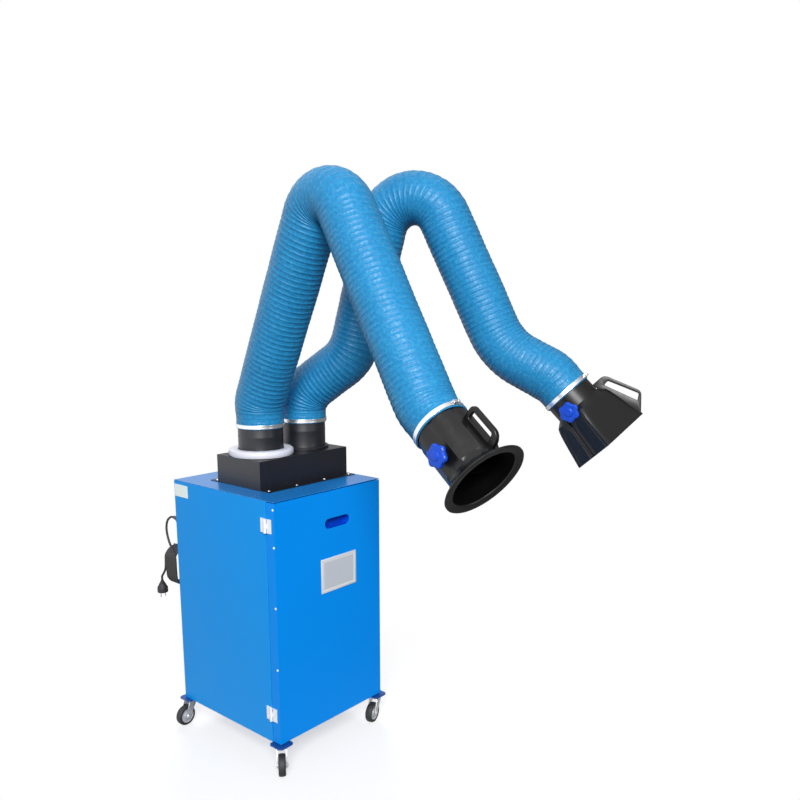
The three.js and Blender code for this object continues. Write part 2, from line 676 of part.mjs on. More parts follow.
function plenumBox() {
  const y = PLENUM_DEPTH / 2;
  const base = cabinetTop + GAP;
  const shell = block([plenumLeft, -y, base], [plenumRight, y, plenumTop]);
  const flange = block([plenumLeft, -y - PLENUM_FLANGE, base], [plenumRight, y + PLENUM_FLANGE, base + SHEET]);
  const hollow = block([plenumLeft + SHEET, -y + SHEET, base - SHEET], [plenumRight - SHEET, y - SHEET, plenumTop - SHEET]);
  const holes = [-1, 1].map((side) =>
    rod(COLLAR_RADIUS - SHEET, plenumTop - 2 * SHEET, plenumTop + SHEET, ROUND_SIDES).translate(collarX(side), 0, 0),
  );
  return cut(join(shell, flange), hollow, ...holes);
}
add("plenum_box", plenumBox(), finishes.blackPaint);

// Points along a line of corners whose bends are rounded off, as [reach, height] pairs with directions
function roundedRoute(corners, radii) {
  const vectors = corners.map(([s, z]) => new THREE.Vector2(s, z));
  const path = new THREE.CurvePath();
  let from = vectors[0];
  for (let i = 1; i < vectors.length - 1; i += 1) {
    const before = vectors[i].clone().sub(vectors[i - 1]).normalize();
    const after = vectors[i + 1].clone().sub(vectors[i]).normalize();
    const turn = Math.atan2(before.cross(after), before.dot(after));
    const tangent = radii[i - 1] * Math.tan(Math.abs(turn) / 2);
    const start = vectors[i].clone().addScaledVector(before, -tangent);
    const end = vectors[i].clone().addScaledVector(after, tangent);
    const hand = Math.sign(turn);
    const centre = start.clone().add(new THREE.Vector2(-before.y, before.x).multiplyScalar(hand * radii[i - 1]));
    const angleAt = (p) => Math.atan2(p.y - centre.y, p.x - centre.x);
    path.add(new THREE.LineCurve(from, start));
    path.add(new THREE.EllipseCurve(centre.x, centre.y, radii[i - 1], radii[i - 1], angleAt(start), angleAt(end), hand < 0));
    from = end;
  }
  path.add(new THREE.LineCurve(from, vectors.at(-1)));
  return path;
}

// A hose with a cuff at each end, ribs between them and an open bore, in the arm's own plane
function ribbedHose(route) {
  const total = route.getLength();
  const divisions = 600;
  const points = route.getSpacedPoints(divisions);
  const place = (length) => {
    const at = THREE.MathUtils.clamp((length / total) * divisions, 0, divisions);
    const i = Math.min(Math.floor(at), divisions - 1);
    const here = points[i].clone().lerp(points[i + 1], at - i);
    const [a, b] = [points[Math.max(i - 1, 0)], points[Math.min(i + 2, divisions)]];
    return { here, along: b.clone().sub(a).normalize() };
  };
  const ring = (length, radius) => {
    const { here, along } = place(length);
    return Array.from({ length: HOSE_SIDES }, (_, k) => {
      const angle = ((k + 0.5) / HOSE_SIDES) * Math.PI * 2;
      const rise = radius * Math.sin(angle);
      const reach = here.x - along.y * rise;
      return new THREE.Vector3(radius * Math.cos(angle), -reach, here.y + along.x * rise);
    });
  };
  const cuffBore = (COLLAR_RADIUS + GAP) / Math.cos(Math.PI / HOSE_SIDES);
  const cuffRadius = cuffBore + CUFF_WALL;
  const swell = (length) => THREE.MathUtils.smoothstep(Math.min(length, total - length), HOSE_OVERLAP, HOSE_OVERLAP + CUFF_TAPER);
  const rootAt = (length) => THREE.MathUtils.lerp(cuffRadius, HOSE_RADIUS - RIB_DEPTH, swell(length));
  const boreAt = (length) => THREE.MathUtils.lerp(cuffBore, HOSE_BORE_RADIUS, swell(length));
  const pitch = (total - 2 * HOSE_OVERLAP) / HOSE_RIBS;
  const outside = [ring(0, cuffRadius)];
  const inside = [ring(0, cuffBore), ring(HOSE_OVERLAP, cuffBore)];
  for (let i = 0; i < HOSE_RIBS; i += 1) {
    const root = HOSE_OVERLAP + pitch * i;
    outside.push(ring(root, rootAt(root)));
    outside.push(ring(root + pitch / 2, rootAt(root + pitch / 2) + RIB_DEPTH * swell(root + pitch / 2)));
    if (i > 0 && i % RIBS_PER_BORE_RING === 0) inside.push(ring(root, boreAt(root)));
  }
  outside.push(ring(total - HOSE_OVERLAP, cuffRadius), ring(total, cuffRadius));
  inside.push(ring(total - HOSE_OVERLAP, cuffBore), ring(total, cuffBore));
  return tidy(ringLoft([...outside, ...inside.reverse()]));
}

// A worm-drive clamp round a cuff, centred on Z
function hoseClamp() {
  const cuffRadius = (COLLAR_RADIUS + GAP) / Math.cos(Math.PI / HOSE_SIDES) + CUFF_WALL;
  const inner = (cuffRadius + GAP) / Math.cos(Math.PI / ROUND_SIDES);
  const band = tube(inner + CLAMP_THICKNESS, inner, 0, CLAMP_WIDTH);
  const housing = block(
    [-CLAMP_SCREW / 2, inner + CLAMP_THICKNESS / 2, 1],
    [CLAMP_SCREW / 2, inner + CLAMP_THICKNESS + 7, CLAMP_WIDTH - 1],
  );
  return join(band, housing);
}

// Arm skeleton. A bridge across a round shell reaches to the shell's flat sides.
const bridgeReach = (radius, halfWidth) =>
  Math.sqrt((radius * Math.cos(Math.PI / ROUND_SIDES) - GAP) ** 2 - halfWidth ** 2);
const pinHole = holeRadius(PIN_RADIUS, PIN_CLEARANCE);
const barInside = LINK_CORE / 2 + GAP;
const barOutside = barInside + LINK_BAR;
const pinEnd = barOutside + 4;

// A flat bar with round ends along Z from 0 to its length, with its thickness along X
function flatBar(length, low, high) {
  const shape = roundedRectangle(length + LINK_WIDTH, LINK_WIDTH, LINK_WIDTH / 2 - 0.01);
  return extruded(shape, high - low).rotateY(-Math.PI / 2).translate(high, 0, length / 2);
}

function lowerLink() {
  const bars = [[-barOutside, -barInside], [barInside, barOutside]].map(([a, b]) => flatBar(LOWER_LINK_LENGTH, a, b));
  const spacers = Array.from({ length: LINK_SPACERS }, (_, i) =>
    rodX(LINK_WIDTH / 3, -barInside - 1, barInside + 1).translate(0, 0, (LOWER_LINK_LENGTH * (i + 1)) / (LINK_SPACERS + 1)),
  );
  const holes = [0, LOWER_LINK_LENGTH].map((z) => rodX(pinHole, -pinEnd, pinEnd).translate(0, 0, z));
  return cut(join(bars[0], bars[1], ...spacers), ...holes);
}

function forearmLink() {
  const core = flatBar(FOREARM_LENGTH, -LINK_CORE / 2, LINK_CORE / 2);
  const pin = rodX(PIN_RADIUS, -pinEnd, pinEnd);
  const hole = rodX(pinHole, -pinEnd, pinEnd).translate(0, 0, FOREARM_LENGTH);
  const relief = [-1, 1].map((side) =>
    block([-LINK_CORE, -LINK_WIDTH / 4, LINK_WIDTH * 2], [LINK_CORE, LINK_WIDTH / 4, FOREARM_LENGTH - LINK_WIDTH * 2])
      .translate(side * (LINK_CORE + 3), 0, 0),
  );
  return cut(join(core, pin), hole, ...relief);
}

// A lug on a bridge across the collar, cranked out to the shoulder pin
function shoulderBracket() {
  const bridgeTop = COLLAR_HEIGHT - 14;
  const inside = bridgeReach(COLLAR_RADIUS - SHEET, LINK_WIDTH / 2);
  const bridge = block([-inside, -LINK_WIDTH / 2, bridgeTop - BRACKET_SHEET], [inside, LINK_WIDTH / 2, bridgeTop]);
  const pinHeight = COLLAR_HEIGHT + SHOULDER_RISE;
  const half = LINK_WIDTH / 2;
  const lug = outline([
    [-half, bridgeTop - 1], [half, bridgeTop - 1], [SHOULDER_REACH + half, pinHeight], [SHOULDER_REACH, pinHeight + half],
    [SHOULDER_REACH - half, pinHeight],
  ]);
  const plate = extruded(lug, LINK_CORE).rotateX(Math.PI / 2).rotateZ(-Math.PI / 2).translate(LINK_CORE / 2, 0, 0);
  const pin = rodX(PIN_RADIUS, -pinEnd, pinEnd).translate(0, -SHOULDER_REACH, pinHeight);
  return join(bridge, plate, pin);
}

// A clevis on a bridge across the hood's neck, reaching back to the wrist pin at the hood's origin
function wristBracket() {
  const inside = bridgeReach(COLLAR_RADIUS - NECK_WALL, LINK_WIDTH / 2);
  const bridgeLow = NECK_START + 3;
  const bridge = block([-inside, -LINK_WIDTH / 2, bridgeLow], [inside, LINK_WIDTH / 2, bridgeLow + BRACKET_SHEET]);
  const ears = [[-barOutside, -barInside], [barInside, barOutside]].map(([a, b]) => flatBar(bridgeLow, a, b));
  const below = block([-barOutside - 1, -LINK_WIDTH, bridgeLow + BRACKET_SHEET], [barOutside + 1, LINK_WIDTH, bridgeLow + LINK_WIDTH]);
  const pin = rodX(PIN_RADIUS, -pinEnd, pinEnd);
  return join(cut(join(bridge, ...ears), below), pin);
}

function swivelCollar() {
  const base = GAP;
  return tidy(turned([
    [COLLAR_RADIUS - SHEET, base], [COLLAR_RADIUS + COLLAR_FLANGE, base], [COLLAR_RADIUS + COLLAR_FLANGE, base + COLLAR_FLANGE_HEIGHT],
    [COLLAR_RADIUS, base + COLLAR_FLANGE_HEIGHT], [COLLAR_RADIUS, COLLAR_HEIGHT], [COLLAR_RADIUS - SHEET, COLLAR_HEIGHT],
  ]));
}

// The fixed ring that holds the collar's flange down and lets it turn
function slipRing(radius, height) {
  const bore = holeRadius(COLLAR_RADIUS, RUNNING_GAP, ROUND_SIDES);
  const recess = holeRadius(COLLAR_RADIUS + COLLAR_FLANGE, RUNNING_GAP, ROUND_SIDES);
  const recessTop = GAP + COLLAR_FLANGE_HEIGHT + GAP;
  const edge = Math.min(4, (radius - recess) / 2);
  return tidy(turned([
    [recess, GAP], [radius, GAP], [radius, height - edge], [radius - edge, height], [bore, height], [bore, recessTop],
    [recess, recessTop],
  ]));
}

// A handle loop standing on the hood's upper side, along Z
function handleLoop(stand) {
  const shape = new THREE.Shape();
  const [reach, foot] = [stand + HANDLE_HEIGHT, stand - 6];
  shape.moveTo(foot, 0);
  shape.lineTo(reach - HANDLE_BAR, 0);
  shape.quadraticCurveTo(reach, 0, reach, HANDLE_BAR);
  shape.lineTo(reach, HANDLE_LENGTH - HANDLE_BAR * 2);
  shape.quadraticCurveTo(reach, HANDLE_LENGTH - HANDLE_BAR, reach - HANDLE_BAR, HANDLE_LENGTH - HANDLE_BAR / 2);
  shape.lineTo(foot, HANDLE_LENGTH);
  const [near, far] = [stand + 7, reach - HANDLE_BAR];
  const [low, high] = [HANDLE_BAR, HANDLE_LENGTH - HANDLE_BAR * 1.6];
  shape.holes.push(new THREE.Path(
    [[near, low], [near, high], [far, high - 4], [far, low + 4]].map((p) => new THREE.Vector2(...p)),
  ));
  const loop = extruded(shape, HANDLE_THICKNESS, 3);
  return loop.rotateX(Math.PI / 2).rotateZ(Math.PI / 2).translate(-HANDLE_THICKNESS / 2, 0, 0);
}

const spindleHole = holeRadius(SPINDLE_RADIUS, PIN_CLEARANCE);

// Bosses and holes for the damper's spindle in the hood's two sides
function spindleBosses(body, hollow, reach, height) {
  const bosses = [-1, 1].map((side) =>
    rodX(BOSS_RADIUS, side > 0 ? reach - 12 : -reach - 5, side > 0 ? reach + 5 : -reach + 12).translate(0, 0, height),
  );
  const hole = rodX(spindleHole, -reach * 2, reach * 2).translate(0, 0, height);
  return cut(join(body, ...bosses), hollow, hole);
}

function roundHood(damperHeight) {
  const [r, flareStart] = [COLLAR_RADIUS, ROUND_HOOD_LENGTH - RIM_FLARE];
  const steps = [0.4, 0.75];
  const flare = (from, to) => steps.map((t) => [from + (to - from) * t * t, flareStart + RIM_FLARE * t]);
  const shell = turned([
    [0, NECK_START], [r, NECK_START], [r, flareStart - 6], [r + 3, flareStart - 6], ...flare(r + 3, ROUND_RIM_RADIUS),
    [ROUND_RIM_RADIUS, ROUND_HOOD_LENGTH - 6], [ROUND_RIM_RADIUS, ROUND_HOOD_LENGTH], [0, ROUND_HOOD_LENGTH],
  ]);
  const hollow = turned([
    [0, NECK_START - 1], [r - NECK_WALL, NECK_START - 1], [r - NECK_WALL, flareStart], ...flare(r - NECK_WALL, ROUND_MOUTH_RADIUS),
    [ROUND_MOUTH_RADIUS, ROUND_HOOD_LENGTH - 3], [ROUND_RIM_RADIUS - 8, ROUND_HOOD_LENGTH + 1], [0, ROUND_HOOD_LENGTH + 1],
  ]);
  const handle = handleLoop(r).translate(0, 0, flareStart - HANDLE_LENGTH + 8);
  return spindleBosses(join(shell, handle), hollow, r, damperHeight);
}

// One ring of the square hood: a circle at the neck that grows into a rounded rectangle at the mouth
function squareHoodRing(share, inset, height) {
  const sides = ROUND_SIDES;
  const [halfWidth, halfDepth] = [SQUARE_MOUTH_WIDTH / 2 - inset, SQUARE_MOUTH_DEPTH / 2 - inset];
  const radius = COLLAR_RADIUS - inset;
  return Array.from({ length: sides }, (_, k) => {
    const angle = ((k + 0.5) / sides) * Math.PI * 2;
    const [c, s] = [Math.cos(angle), Math.sin(angle)];
    const stretch = Math.min(1 / Math.max(Math.abs(c), 1e-6), 1 / Math.max(Math.abs(s), 1e-6));
    const soften = 1 - SQUARE_MOUTH_CORNER / SQUARE_MOUTH_WIDTH * Math.abs(Math.sin(2 * angle)) ** 8;
    const [x, y] = [halfWidth * c * stretch * soften, halfDepth * s * stretch * soften];
    return new THREE.Vector3(
      THREE.MathUtils.lerp(radius * c, x, share), THREE.MathUtils.lerp(radius * s, y, share), height,
    );
  });
}

function cappedLoft(rings) {
  const ends = [rings[0], rings.at(-1)].map((r) => r.map(() => new THREE.Vector3(0, 0, r[0].z)));
  return ringLoft([ends[0], ...rings, ends[1]]);
}

// The square hood's handle stands on a corner edge and leans out with it to the mouth
function cornerHandle(cornerReach) {
  const [low, high] = [CORNER_HANDLE_START, SQUARE_HOOD_LENGTH - CORNER_HANDLE_SETBACK];
  const top = high - CORNER_HANDLE_RETURN;
  const reachAt = (z) => COLLAR_RADIUS + CORNER_HANDLE_HEIGHT + CORNER_HANDLE_LEAN * (z - low);
  const shape = new THREE.Shape();
  shape.moveTo(COLLAR_RADIUS - 2 * NECK_WALL, low);
  shape.lineTo(reachAt(low) - HANDLE_BAR, low);
  shape.quadraticCurveTo(reachAt(low), low, reachAt(low + HANDLE_BAR), low + HANDLE_BAR);
  shape.lineTo(reachAt(top - HANDLE_BAR), top - HANDLE_BAR);
  shape.quadraticCurveTo(reachAt(top), top, reachAt(top) - HANDLE_BAR, top + HANDLE_BAR);
  shape.lineTo(cornerReach, high);
  shape.lineTo(cornerReach - 6 * NECK_WALL, high);
  const farAt = (z) => reachAt(z) - HANDLE_BAR;
  const nearAt = (z) => farAt(z) - CORNER_HANDLE_SLOT;
  const [slotLow, slotHigh] = [low + HANDLE_BAR * 1.7, top + HANDLE_BAR / 3];
  shape.holes.push(new THREE.Path(
    [
      [nearAt(slotLow), slotLow + 2], [nearAt(slotHigh), slotHigh + HANDLE_BAR * 0.75], [farAt(slotHigh), slotHigh - 4],
      [farAt(slotLow), slotLow],
    ].map((p) => new THREE.Vector2(...p)),
  ));
  const loop = extruded(shape, HANDLE_THICKNESS, 3);
  const corner = Math.atan2(SQUARE_MOUTH_DEPTH, SQUARE_MOUTH_WIDTH);
  return loop.rotateX(Math.PI / 2).translate(0, HANDLE_THICKNESS / 2, 0).rotateZ(corner);
}

function squareHood(damperHeight) {
  const flareStart = NECK_START + SQUARE_NECK_LENGTH;
  const flareLength = SQUARE_HOOD_LENGTH - flareStart;
  const shares = [0, 0.25, 0.6, 1];
  const rings = (inset, over) => [
    squareHoodRing(0, inset, NECK_START - over),
    ...shares.map((share) => squareHoodRing(share, inset, flareStart + flareLength * share ** 0.8)),
    ...(over ? [squareHoodRing(1, inset, SQUARE_HOOD_LENGTH + over)] : []),
  ];
  const shell = cappedLoft(rings(0, 0));
  const hollow = cappedLoft(rings(NECK_WALL, 1));
  const cornerReach = Math.hypot(SQUARE_MOUTH_WIDTH, SQUARE_MOUTH_DEPTH) / 2 - SQUARE_MOUTH_CORNER;
  const handle = cornerHandle(cornerReach);
  const ribLength = flareLength * 0.9;
  const lean = Math.atan2(SQUARE_MOUTH_WIDTH / 2 - COLLAR_RADIUS, flareLength);
  const spread = SQUARE_MOUTH_DEPTH / (SQUARE_RIBS + 1);
  const ribs = [-1, 1].flatMap((side) =>
    Array.from({ length: SQUARE_RIBS }, (_, i) => {
      const across = spread * (i - (SQUARE_RIBS - 1) / 2);
      return block([-SQUARE_RIB_HEIGHT, -SQUARE_RIB_WIDTH / 2, -ribLength], [SQUARE_RIB_HEIGHT, SQUARE_RIB_WIDTH / 2, 0])
        .rotateX(-across / flareLength * 0.4)
        .rotateY(side * lean)
        .translate(side * (SQUARE_MOUTH_WIDTH / 2 - 1), across, SQUARE_HOOD_LENGTH - 3);
    }),
  );
  const mouthTurn = deg(SQUARE_MOUTH_TURN);
  const body = join(shell, handle, ...ribs).rotateZ(mouthTurn);
  return spindleBosses(body, hollow.rotateZ(mouthTurn), COLLAR_RADIUS, damperHeight);
}

function damperBlade(height) {
  const radius = COLLAR_RADIUS - NECK_WALL - DAMPER_CLEARANCE;
  const blade = rod(radius, -DAMPER_THICKNESS / 2, DAMPER_THICKNESS / 2, ROUND_SIDES).rotateX(Math.PI / 2);
  const end = COLLAR_RADIUS + KNOB_STAND_OFF + KNOB_HEIGHT / 2;
  const spindle = rodX(SPINDLE_RADIUS, -end, COLLAR_RADIUS + 5);
  return join(blade, spindle).translate(0, 0, height);
}

// A lobed grip on the damper's spindle, on the hood's -X side
function damperKnob(height) {
  const points = Array.from({ length: KNOB_LOBES * KNOB_STEPS }, (_, i) => {
    const angle = (i / (KNOB_LOBES * KNOB_STEPS)) * Math.PI * 2;
    const radius = KNOB_RADIUS - KNOB_LOBE_DEPTH * (0.5 - 0.5 * Math.cos(KNOB_LOBES * angle));
    return [radius * Math.cos(angle), radius * Math.sin(angle)];
  });
  const grip = extruded(outline(points), KNOB_HEIGHT * 0.7);
  const neck = rod(BOSS_RADIUS, -KNOB_HEIGHT * 0.3, 1);
  const crown = turned([[0, 0], [BOSS_RADIUS, 0], [BOSS_RADIUS - 3, KNOB_HEIGHT * 0.85], [0, KNOB_HEIGHT * 0.85]], ROD_SIDES);
  const socket = rod(holeRadius(SPINDLE_RADIUS, GAP), -KNOB_HEIGHT, KNOB_HEIGHT / 2 - KNOB_HEIGHT * 0.3 + GAP);
  const knob = cut(join(grip, neck, crown), socket);
  const start = COLLAR_RADIUS + KNOB_STAND_OFF;
  return knob.translate(0, 0, start + KNOB_HEIGHT * 0.3).rotateY(-Math.PI / 2).translate(0, 0, height);
}

const slipRings = {
  left: { size: [LEFT_RING_RADIUS, LEFT_RING_HEIGHT], finish: finishes.whitePlastic },
  right: { size: [RIGHT_RING_RADIUS, RIGHT_RING_HEIGHT], finish: finishes.blackPaint },
};

// One whole arm on its collar
function addArm(name, arm) {
  const base = new THREE.Group();
  base.position.set(collarX(arm.side), 0, plenumTop);
  part.add(base);
  addTo(base, name + "_slip_ring", slipRing(...slipRings[name].size), slipRings[name].finish);
  const turntable = new THREE.Group();
  turntable.rotation.z = deg(arm.turn);
  base.add(turntable);

  // The pins, as [reach, height] in the arm's plane. Angles are from upright, outwards.
  const step = ([s, z], length, angle) => [s + length * Math.sin(deg(angle)), z + length * Math.cos(deg(angle))];
  const shoulder = [SHOULDER_REACH, COLLAR_HEIGHT + SHOULDER_RISE];
  const elbow = step(shoulder, LOWER_LINK_LENGTH, arm.lower);
  const wrist = step(elbow, FOREARM_LENGTH, arm.forearm);
  const hang = (at, angle) => {
    const group = new THREE.Group();
    group.position.set(0, -at[0], at[1]);
    group.rotation.x = deg(angle);
    turntable.add(group);
    return group;
  };
  addTo(turntable, name + "_collar", swivelCollar(), finishes.blackPaint);
  addTo(turntable, name + "_shoulder_bracket", shoulderBracket(), finishes.steel);
  addTo(hang(shoulder, arm.lower), name + "_lower_link", lowerLink(), finishes.steel);
  addTo(hang(elbow, arm.forearm), name + "_forearm", forearmLink(), finishes.steel);

  const hood = hang(wrist, arm.hood);
  const round = arm.kind === "round";
  const damperHeight = NECK_START + HOSE_OVERLAP + (round ? ROUND_DAMPER_BEYOND_HOSE : SQUARE_DAMPER_BEYOND_HOSE);
  const rolled = new THREE.Group();
  rolled.rotation.z = deg(arm.roll);
  hood.add(rolled);
  addTo(rolled, name + "_hood", round ? roundHood(damperHeight) : squareHood(damperHeight), finishes.blackPlastic);
  addTo(hood, name + "_wrist_bracket", wristBracket(), finishes.steel);
  addTo(rolled, name + "_damper_blade", damperBlade(damperHeight), finishes.steel);
  addTo(rolled, name + "_damper_knob", damperKnob(damperHeight), finishes.blueKnob);

  // The hose's corners: up from the collar, along the lower link, over the elbow and down to the neck
  const run = HOSE_RUNS[name];
  const hoseStart = [0, COLLAR_HEIGHT - HOSE_OVERLAP];
  const foot = [0, COLLAR_HEIGHT + run.footRise];
  const neckEnd = step(wrist, NECK_START + HOSE_OVERLAP, arm.hood);
  const overElbow = step(elbow, run.elbowRise, (arm.lower + arm.forearm - 180) / 2);
  const corners = [[foot, FOOT_BEND_RADIUS]];
  if (run.lowerSwing) {
    const [along, out] = run.lowerSwing;
    corners.push([step(step(shoulder, along, arm.lower), out, arm.lower + 90), SWING_BEND_RADIUS]);
  }
  corners.push([overElbow, run.elbowRadius]);
  if (run.forearmSag) {
    const [along, down] = run.forearmSag;
    corners.push([step(step(elbow, along, arm.forearm), down, arm.forearm + 90), SAG_BEND_RADIUS]);
  }
  corners.push([wrist, WRIST_BEND_RADIUS]);
  const route = roundedRoute([hoseStart, ...corners.map(([at]) => at), neckEnd], corners.map(([, radius]) => radius));
  addTo(turntable, name + "_hose", ribbedHose(route), finishes.blueFabric);
  const lowClamp = addTo(turntable, name + "_base_clamp", hoseClamp(), finishes.zinc);
  lowClamp.position.z = COLLAR_HEIGHT - HOSE_OVERLAP + 10;
  const highClamp = addTo(hood, name + "_hood_clamp", hoseClamp(), finishes.zinc);
  highClamp.position.z = NECK_START + HOSE_OVERLAP - 10 - CLAMP_WIDTH;
}
Object.entries(ARMS).forEach(([name, arm]) => addArm(name, arm));

// Mains cord: gland, free stretch, hank on its peg and plug
const glandZ = cabinetFloor + GLAND_HEIGHT;
const glandEnd = rearFace + GLAND_LENGTH;

function cableGland() {
  const bore = CORD_RADIUS - 1;
  const profile = [
    [bore, -SHEET - 6], [GLAND_RADIUS + 3, -SHEET - 6], [GLAND_RADIUS + 3, -SHEET - GAP], [GLAND_RADIUS, -SHEET - GAP], [GLAND_RADIUS, GAP],
    [GLAND_RADIUS + 4, GAP], [GLAND_RADIUS + 4, 9], [GLAND_RADIUS, 12], [CORD_RADIUS + 2, GLAND_LENGTH], [bore, GLAND_LENGTH],
  ];
  return tidy(turned(profile, GLAND_SIDES).rotateX(-Math.PI / 2).translate(GLAND_OFFSET, rearFace, glandZ));
}

// A tube of a few sides along a list of points
function cordTube(points, steps, sides) {
  const curve = new THREE.CatmullRomCurve3(points, false, "centripetal");
  const section = new THREE.Shape(
    Array.from({ length: sides }, (_, i) => {
      const angle = (i / sides) * Math.PI * 2;
      return new THREE.Vector2(CORD_RADIUS * Math.cos(angle), CORD_RADIUS * Math.sin(angle));
    }),
  );
  return tidy(new THREE.ExtrudeGeometry(section, { steps, bevelEnabled: false, extrudePath: curve }));
}

const hankLeft = HANK_OFFSET - HANK_BEND_RADIUS;
const hankMiddle = cabinetFloor + HANK_HEIGHT;
const hankStart = rearFace + HANK_STANDOFF;
const hankLead = 3 * CORD_RADIUS;

// The hank's loops are long rounds that follow each other along Y, entered and left going down on the left.
function hankPoint(turn) {
  const angle = Math.PI + turn * Math.PI * 2;
  const lift = Math.abs(Math.sin(angle)) < 1e-6 ? 0 : (Math.sign(Math.sin(angle)) * HANK_STRAIGHT) / 2;
  return new THREE.Vector3(
    HANK_OFFSET + HANK_BEND_RADIUS * Math.cos(angle),
    hankStart + HANK_PITCH * turn,
    hankMiddle + HANK_BEND_RADIUS * Math.sin(angle) + lift,
  );
}

function cordHank() {
  const points = [new THREE.Vector3(hankLeft, hankStart, hankMiddle + hankLead)];
  for (let i = 0; i <= HANK_LOOPS * HANK_STEPS; i += 1) points.push(hankPoint(i / HANK_STEPS));
  const last = points.at(-1);
  [[0.3, 0.2], [0.55, 0.6], [0.75, 0.95], [0.87, 1], [1, 1]].forEach(([down, out]) => {
    points.push(new THREE.Vector3(last.x, last.y + HANK_TAIL_SWING * out, last.z - HANK_TAIL * down));
  });
  let least = Infinity;
  for (let i = 0; i < points.length; i += 1) {
    for (let k = i + HANK_STEPS / 2; k < points.length; k += 1) {
      least = Math.min(least, points[i].distanceTo(points[k]) - 2 * CORD_RADIUS);
    }
  }
  console.log("hank: least gap between its loops " + least.toFixed(2) + " mm");
  return cordTube(points, points.length - 1, HANK_SIDES);
}

// The free stretch leaves the gland level, falls, and runs straight down into the hank.
function powerCord() {
  const low = hankMiddle + hankLead + GAP;
  const points = [
    [GLAND_OFFSET, glandEnd + GAP, glandZ], [GLAND_OFFSET, glandEnd + 8, glandZ], [GLAND_OFFSET, glandEnd + 24, glandZ - 4],
    [GLAND_OFFSET - 2, glandEnd + 42, glandZ - 22], [GLAND_OFFSET - 5, glandEnd + 44, glandZ - 55],
    [hankLeft + 2, glandEnd + 26, glandZ - 95], [hankLeft, hankStart + 4, low + 40],
    [hankLeft, hankStart, low + 16], [hankLeft, hankStart, low],
  ].map((p) => new THREE.Vector3(...p));
  return cordTube(points, CORD_STEPS, CORD_SIDES);
}

function powerPlug() {
  const top = hankMiddle - HANK_TAIL - GAP;
  const body = turned([
    [0, top - PLUG_LENGTH], [PLUG_RADIUS, top - PLUG_LENGTH], [PLUG_RADIUS, top - PLUG_LENGTH / 2], [PLUG_RADIUS - 7, top - 12],
    [CORD_RADIUS + 1.5, top], [0, top],
  ], 16);
  const pins = [-1, 1].map((side) =>
    rod(PLUG_PIN_RADIUS, top - PLUG_LENGTH - PLUG_PIN_LENGTH, top - PLUG_LENGTH + 1, 8).translate(side * 9.5, 0, 0),
  );
  return join(body, ...pins).translate(hankLeft, hankStart + HANK_PITCH * HANK_LOOPS + HANK_TAIL_SWING, 0);
}

// A peg with an upturned end, under the top of the loops
function cordHook() {
  const height = hankMiddle + HANK_STRAIGHT / 2 + HANK_BEND_RADIUS - CORD_RADIUS - PEG_GAP - PEG_RADIUS;
  const end = hankStart + HANK_PITCH * HANK_LOOPS + 10;
  const along = (radius, from, to) => rod(radius, from, to, 12).rotateX(-Math.PI / 2).translate(HANK_OFFSET, 0, height);
  const foot = along(PEG_RADIUS * 3, rearFace + GAP, rearFace + GAP + 4);
  const peg = along(PEG_RADIUS, rearFace + GAP, end);
  const tip = rod(PEG_RADIUS, height - PEG_RADIUS, height + PEG_RADIUS * 3, 12).translate(HANK_OFFSET, end - PEG_RADIUS / 2, 0);
  return join(foot, peg, tip);
}

add("cable_gland", cableGland(), finishes.blackPlastic);
add("power_cord", powerCord(), finishes.rubber);
add("cord_hank", cordHank(), finishes.rubber);
add("power_plug", powerPlug(), finishes.rubber);
add("cord_hook", cordHook(), finishes.zinc);

// Rear rocker switch
const switchZ = cabinetFloor + SWITCH_HEIGHT;
const rockerHalf = SWITCH_SIZE / 2 - SWITCH_FRAME;
const rockerAxis = rearFace + SWITCH_PROUD / 2;

function switchHousing() {
  const half = SWITCH_SIZE / 2;
  const body = block([-half + GAP, -18, -half + GAP], [half - GAP, SWITCH_PROUD, half - GAP]);
  const bezel = block([-half - 4, GAP, -half - 4], [half + 4, SWITCH_PROUD / 2, half + 4]);
  const well = block([-rockerHalf, -14, -rockerHalf], [rockerHalf, SWITCH_PROUD + 1, rockerHalf]);
  return cut(join(body, bezel), well).translate(SWITCH_OFFSET, rearFace, switchZ);
}

function rockerSwitch() {
  const half = rockerHalf - 1.5;
  const rise = 5;
  const side = outline([[-half, rise], [-half, -rise], [0, -rise - 2], [half, -rise], [half, rise], [0, rise - 3]]);
  const rocker = extruded(side, 2 * (rockerHalf - RUNNING_GAP)).translate(0, 0, -rockerHalf + RUNNING_GAP);
  return tidy(rocker.rotateY(Math.PI / 2).translate(SWITCH_OFFSET, rockerAxis, switchZ));
}
add("switch_housing", switchHousing(), finishes.blackPlastic);
add("rocker_switch", rockerSwitch(), finishes.blackPlastic);

export default part;
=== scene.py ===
# %% [markdown]
# # A mobile fume extractor
# A blue filter cabinet stands on four casters. A black plenum box on its top carries two jointed arms,
# each hidden in a ribbed hose, and each arm ends in a black hood with a blue damper knob. The measured
# model is loaded first, and every piece made here is placed in its frame, in metres. A measured piece
# whose shape is right stays and gets a finish. The others are modelled again with more detail.

# %% Load the measured model
import bisect
import json
import math

import bmesh
import bpy
from mathutils import Matrix, Vector, noise


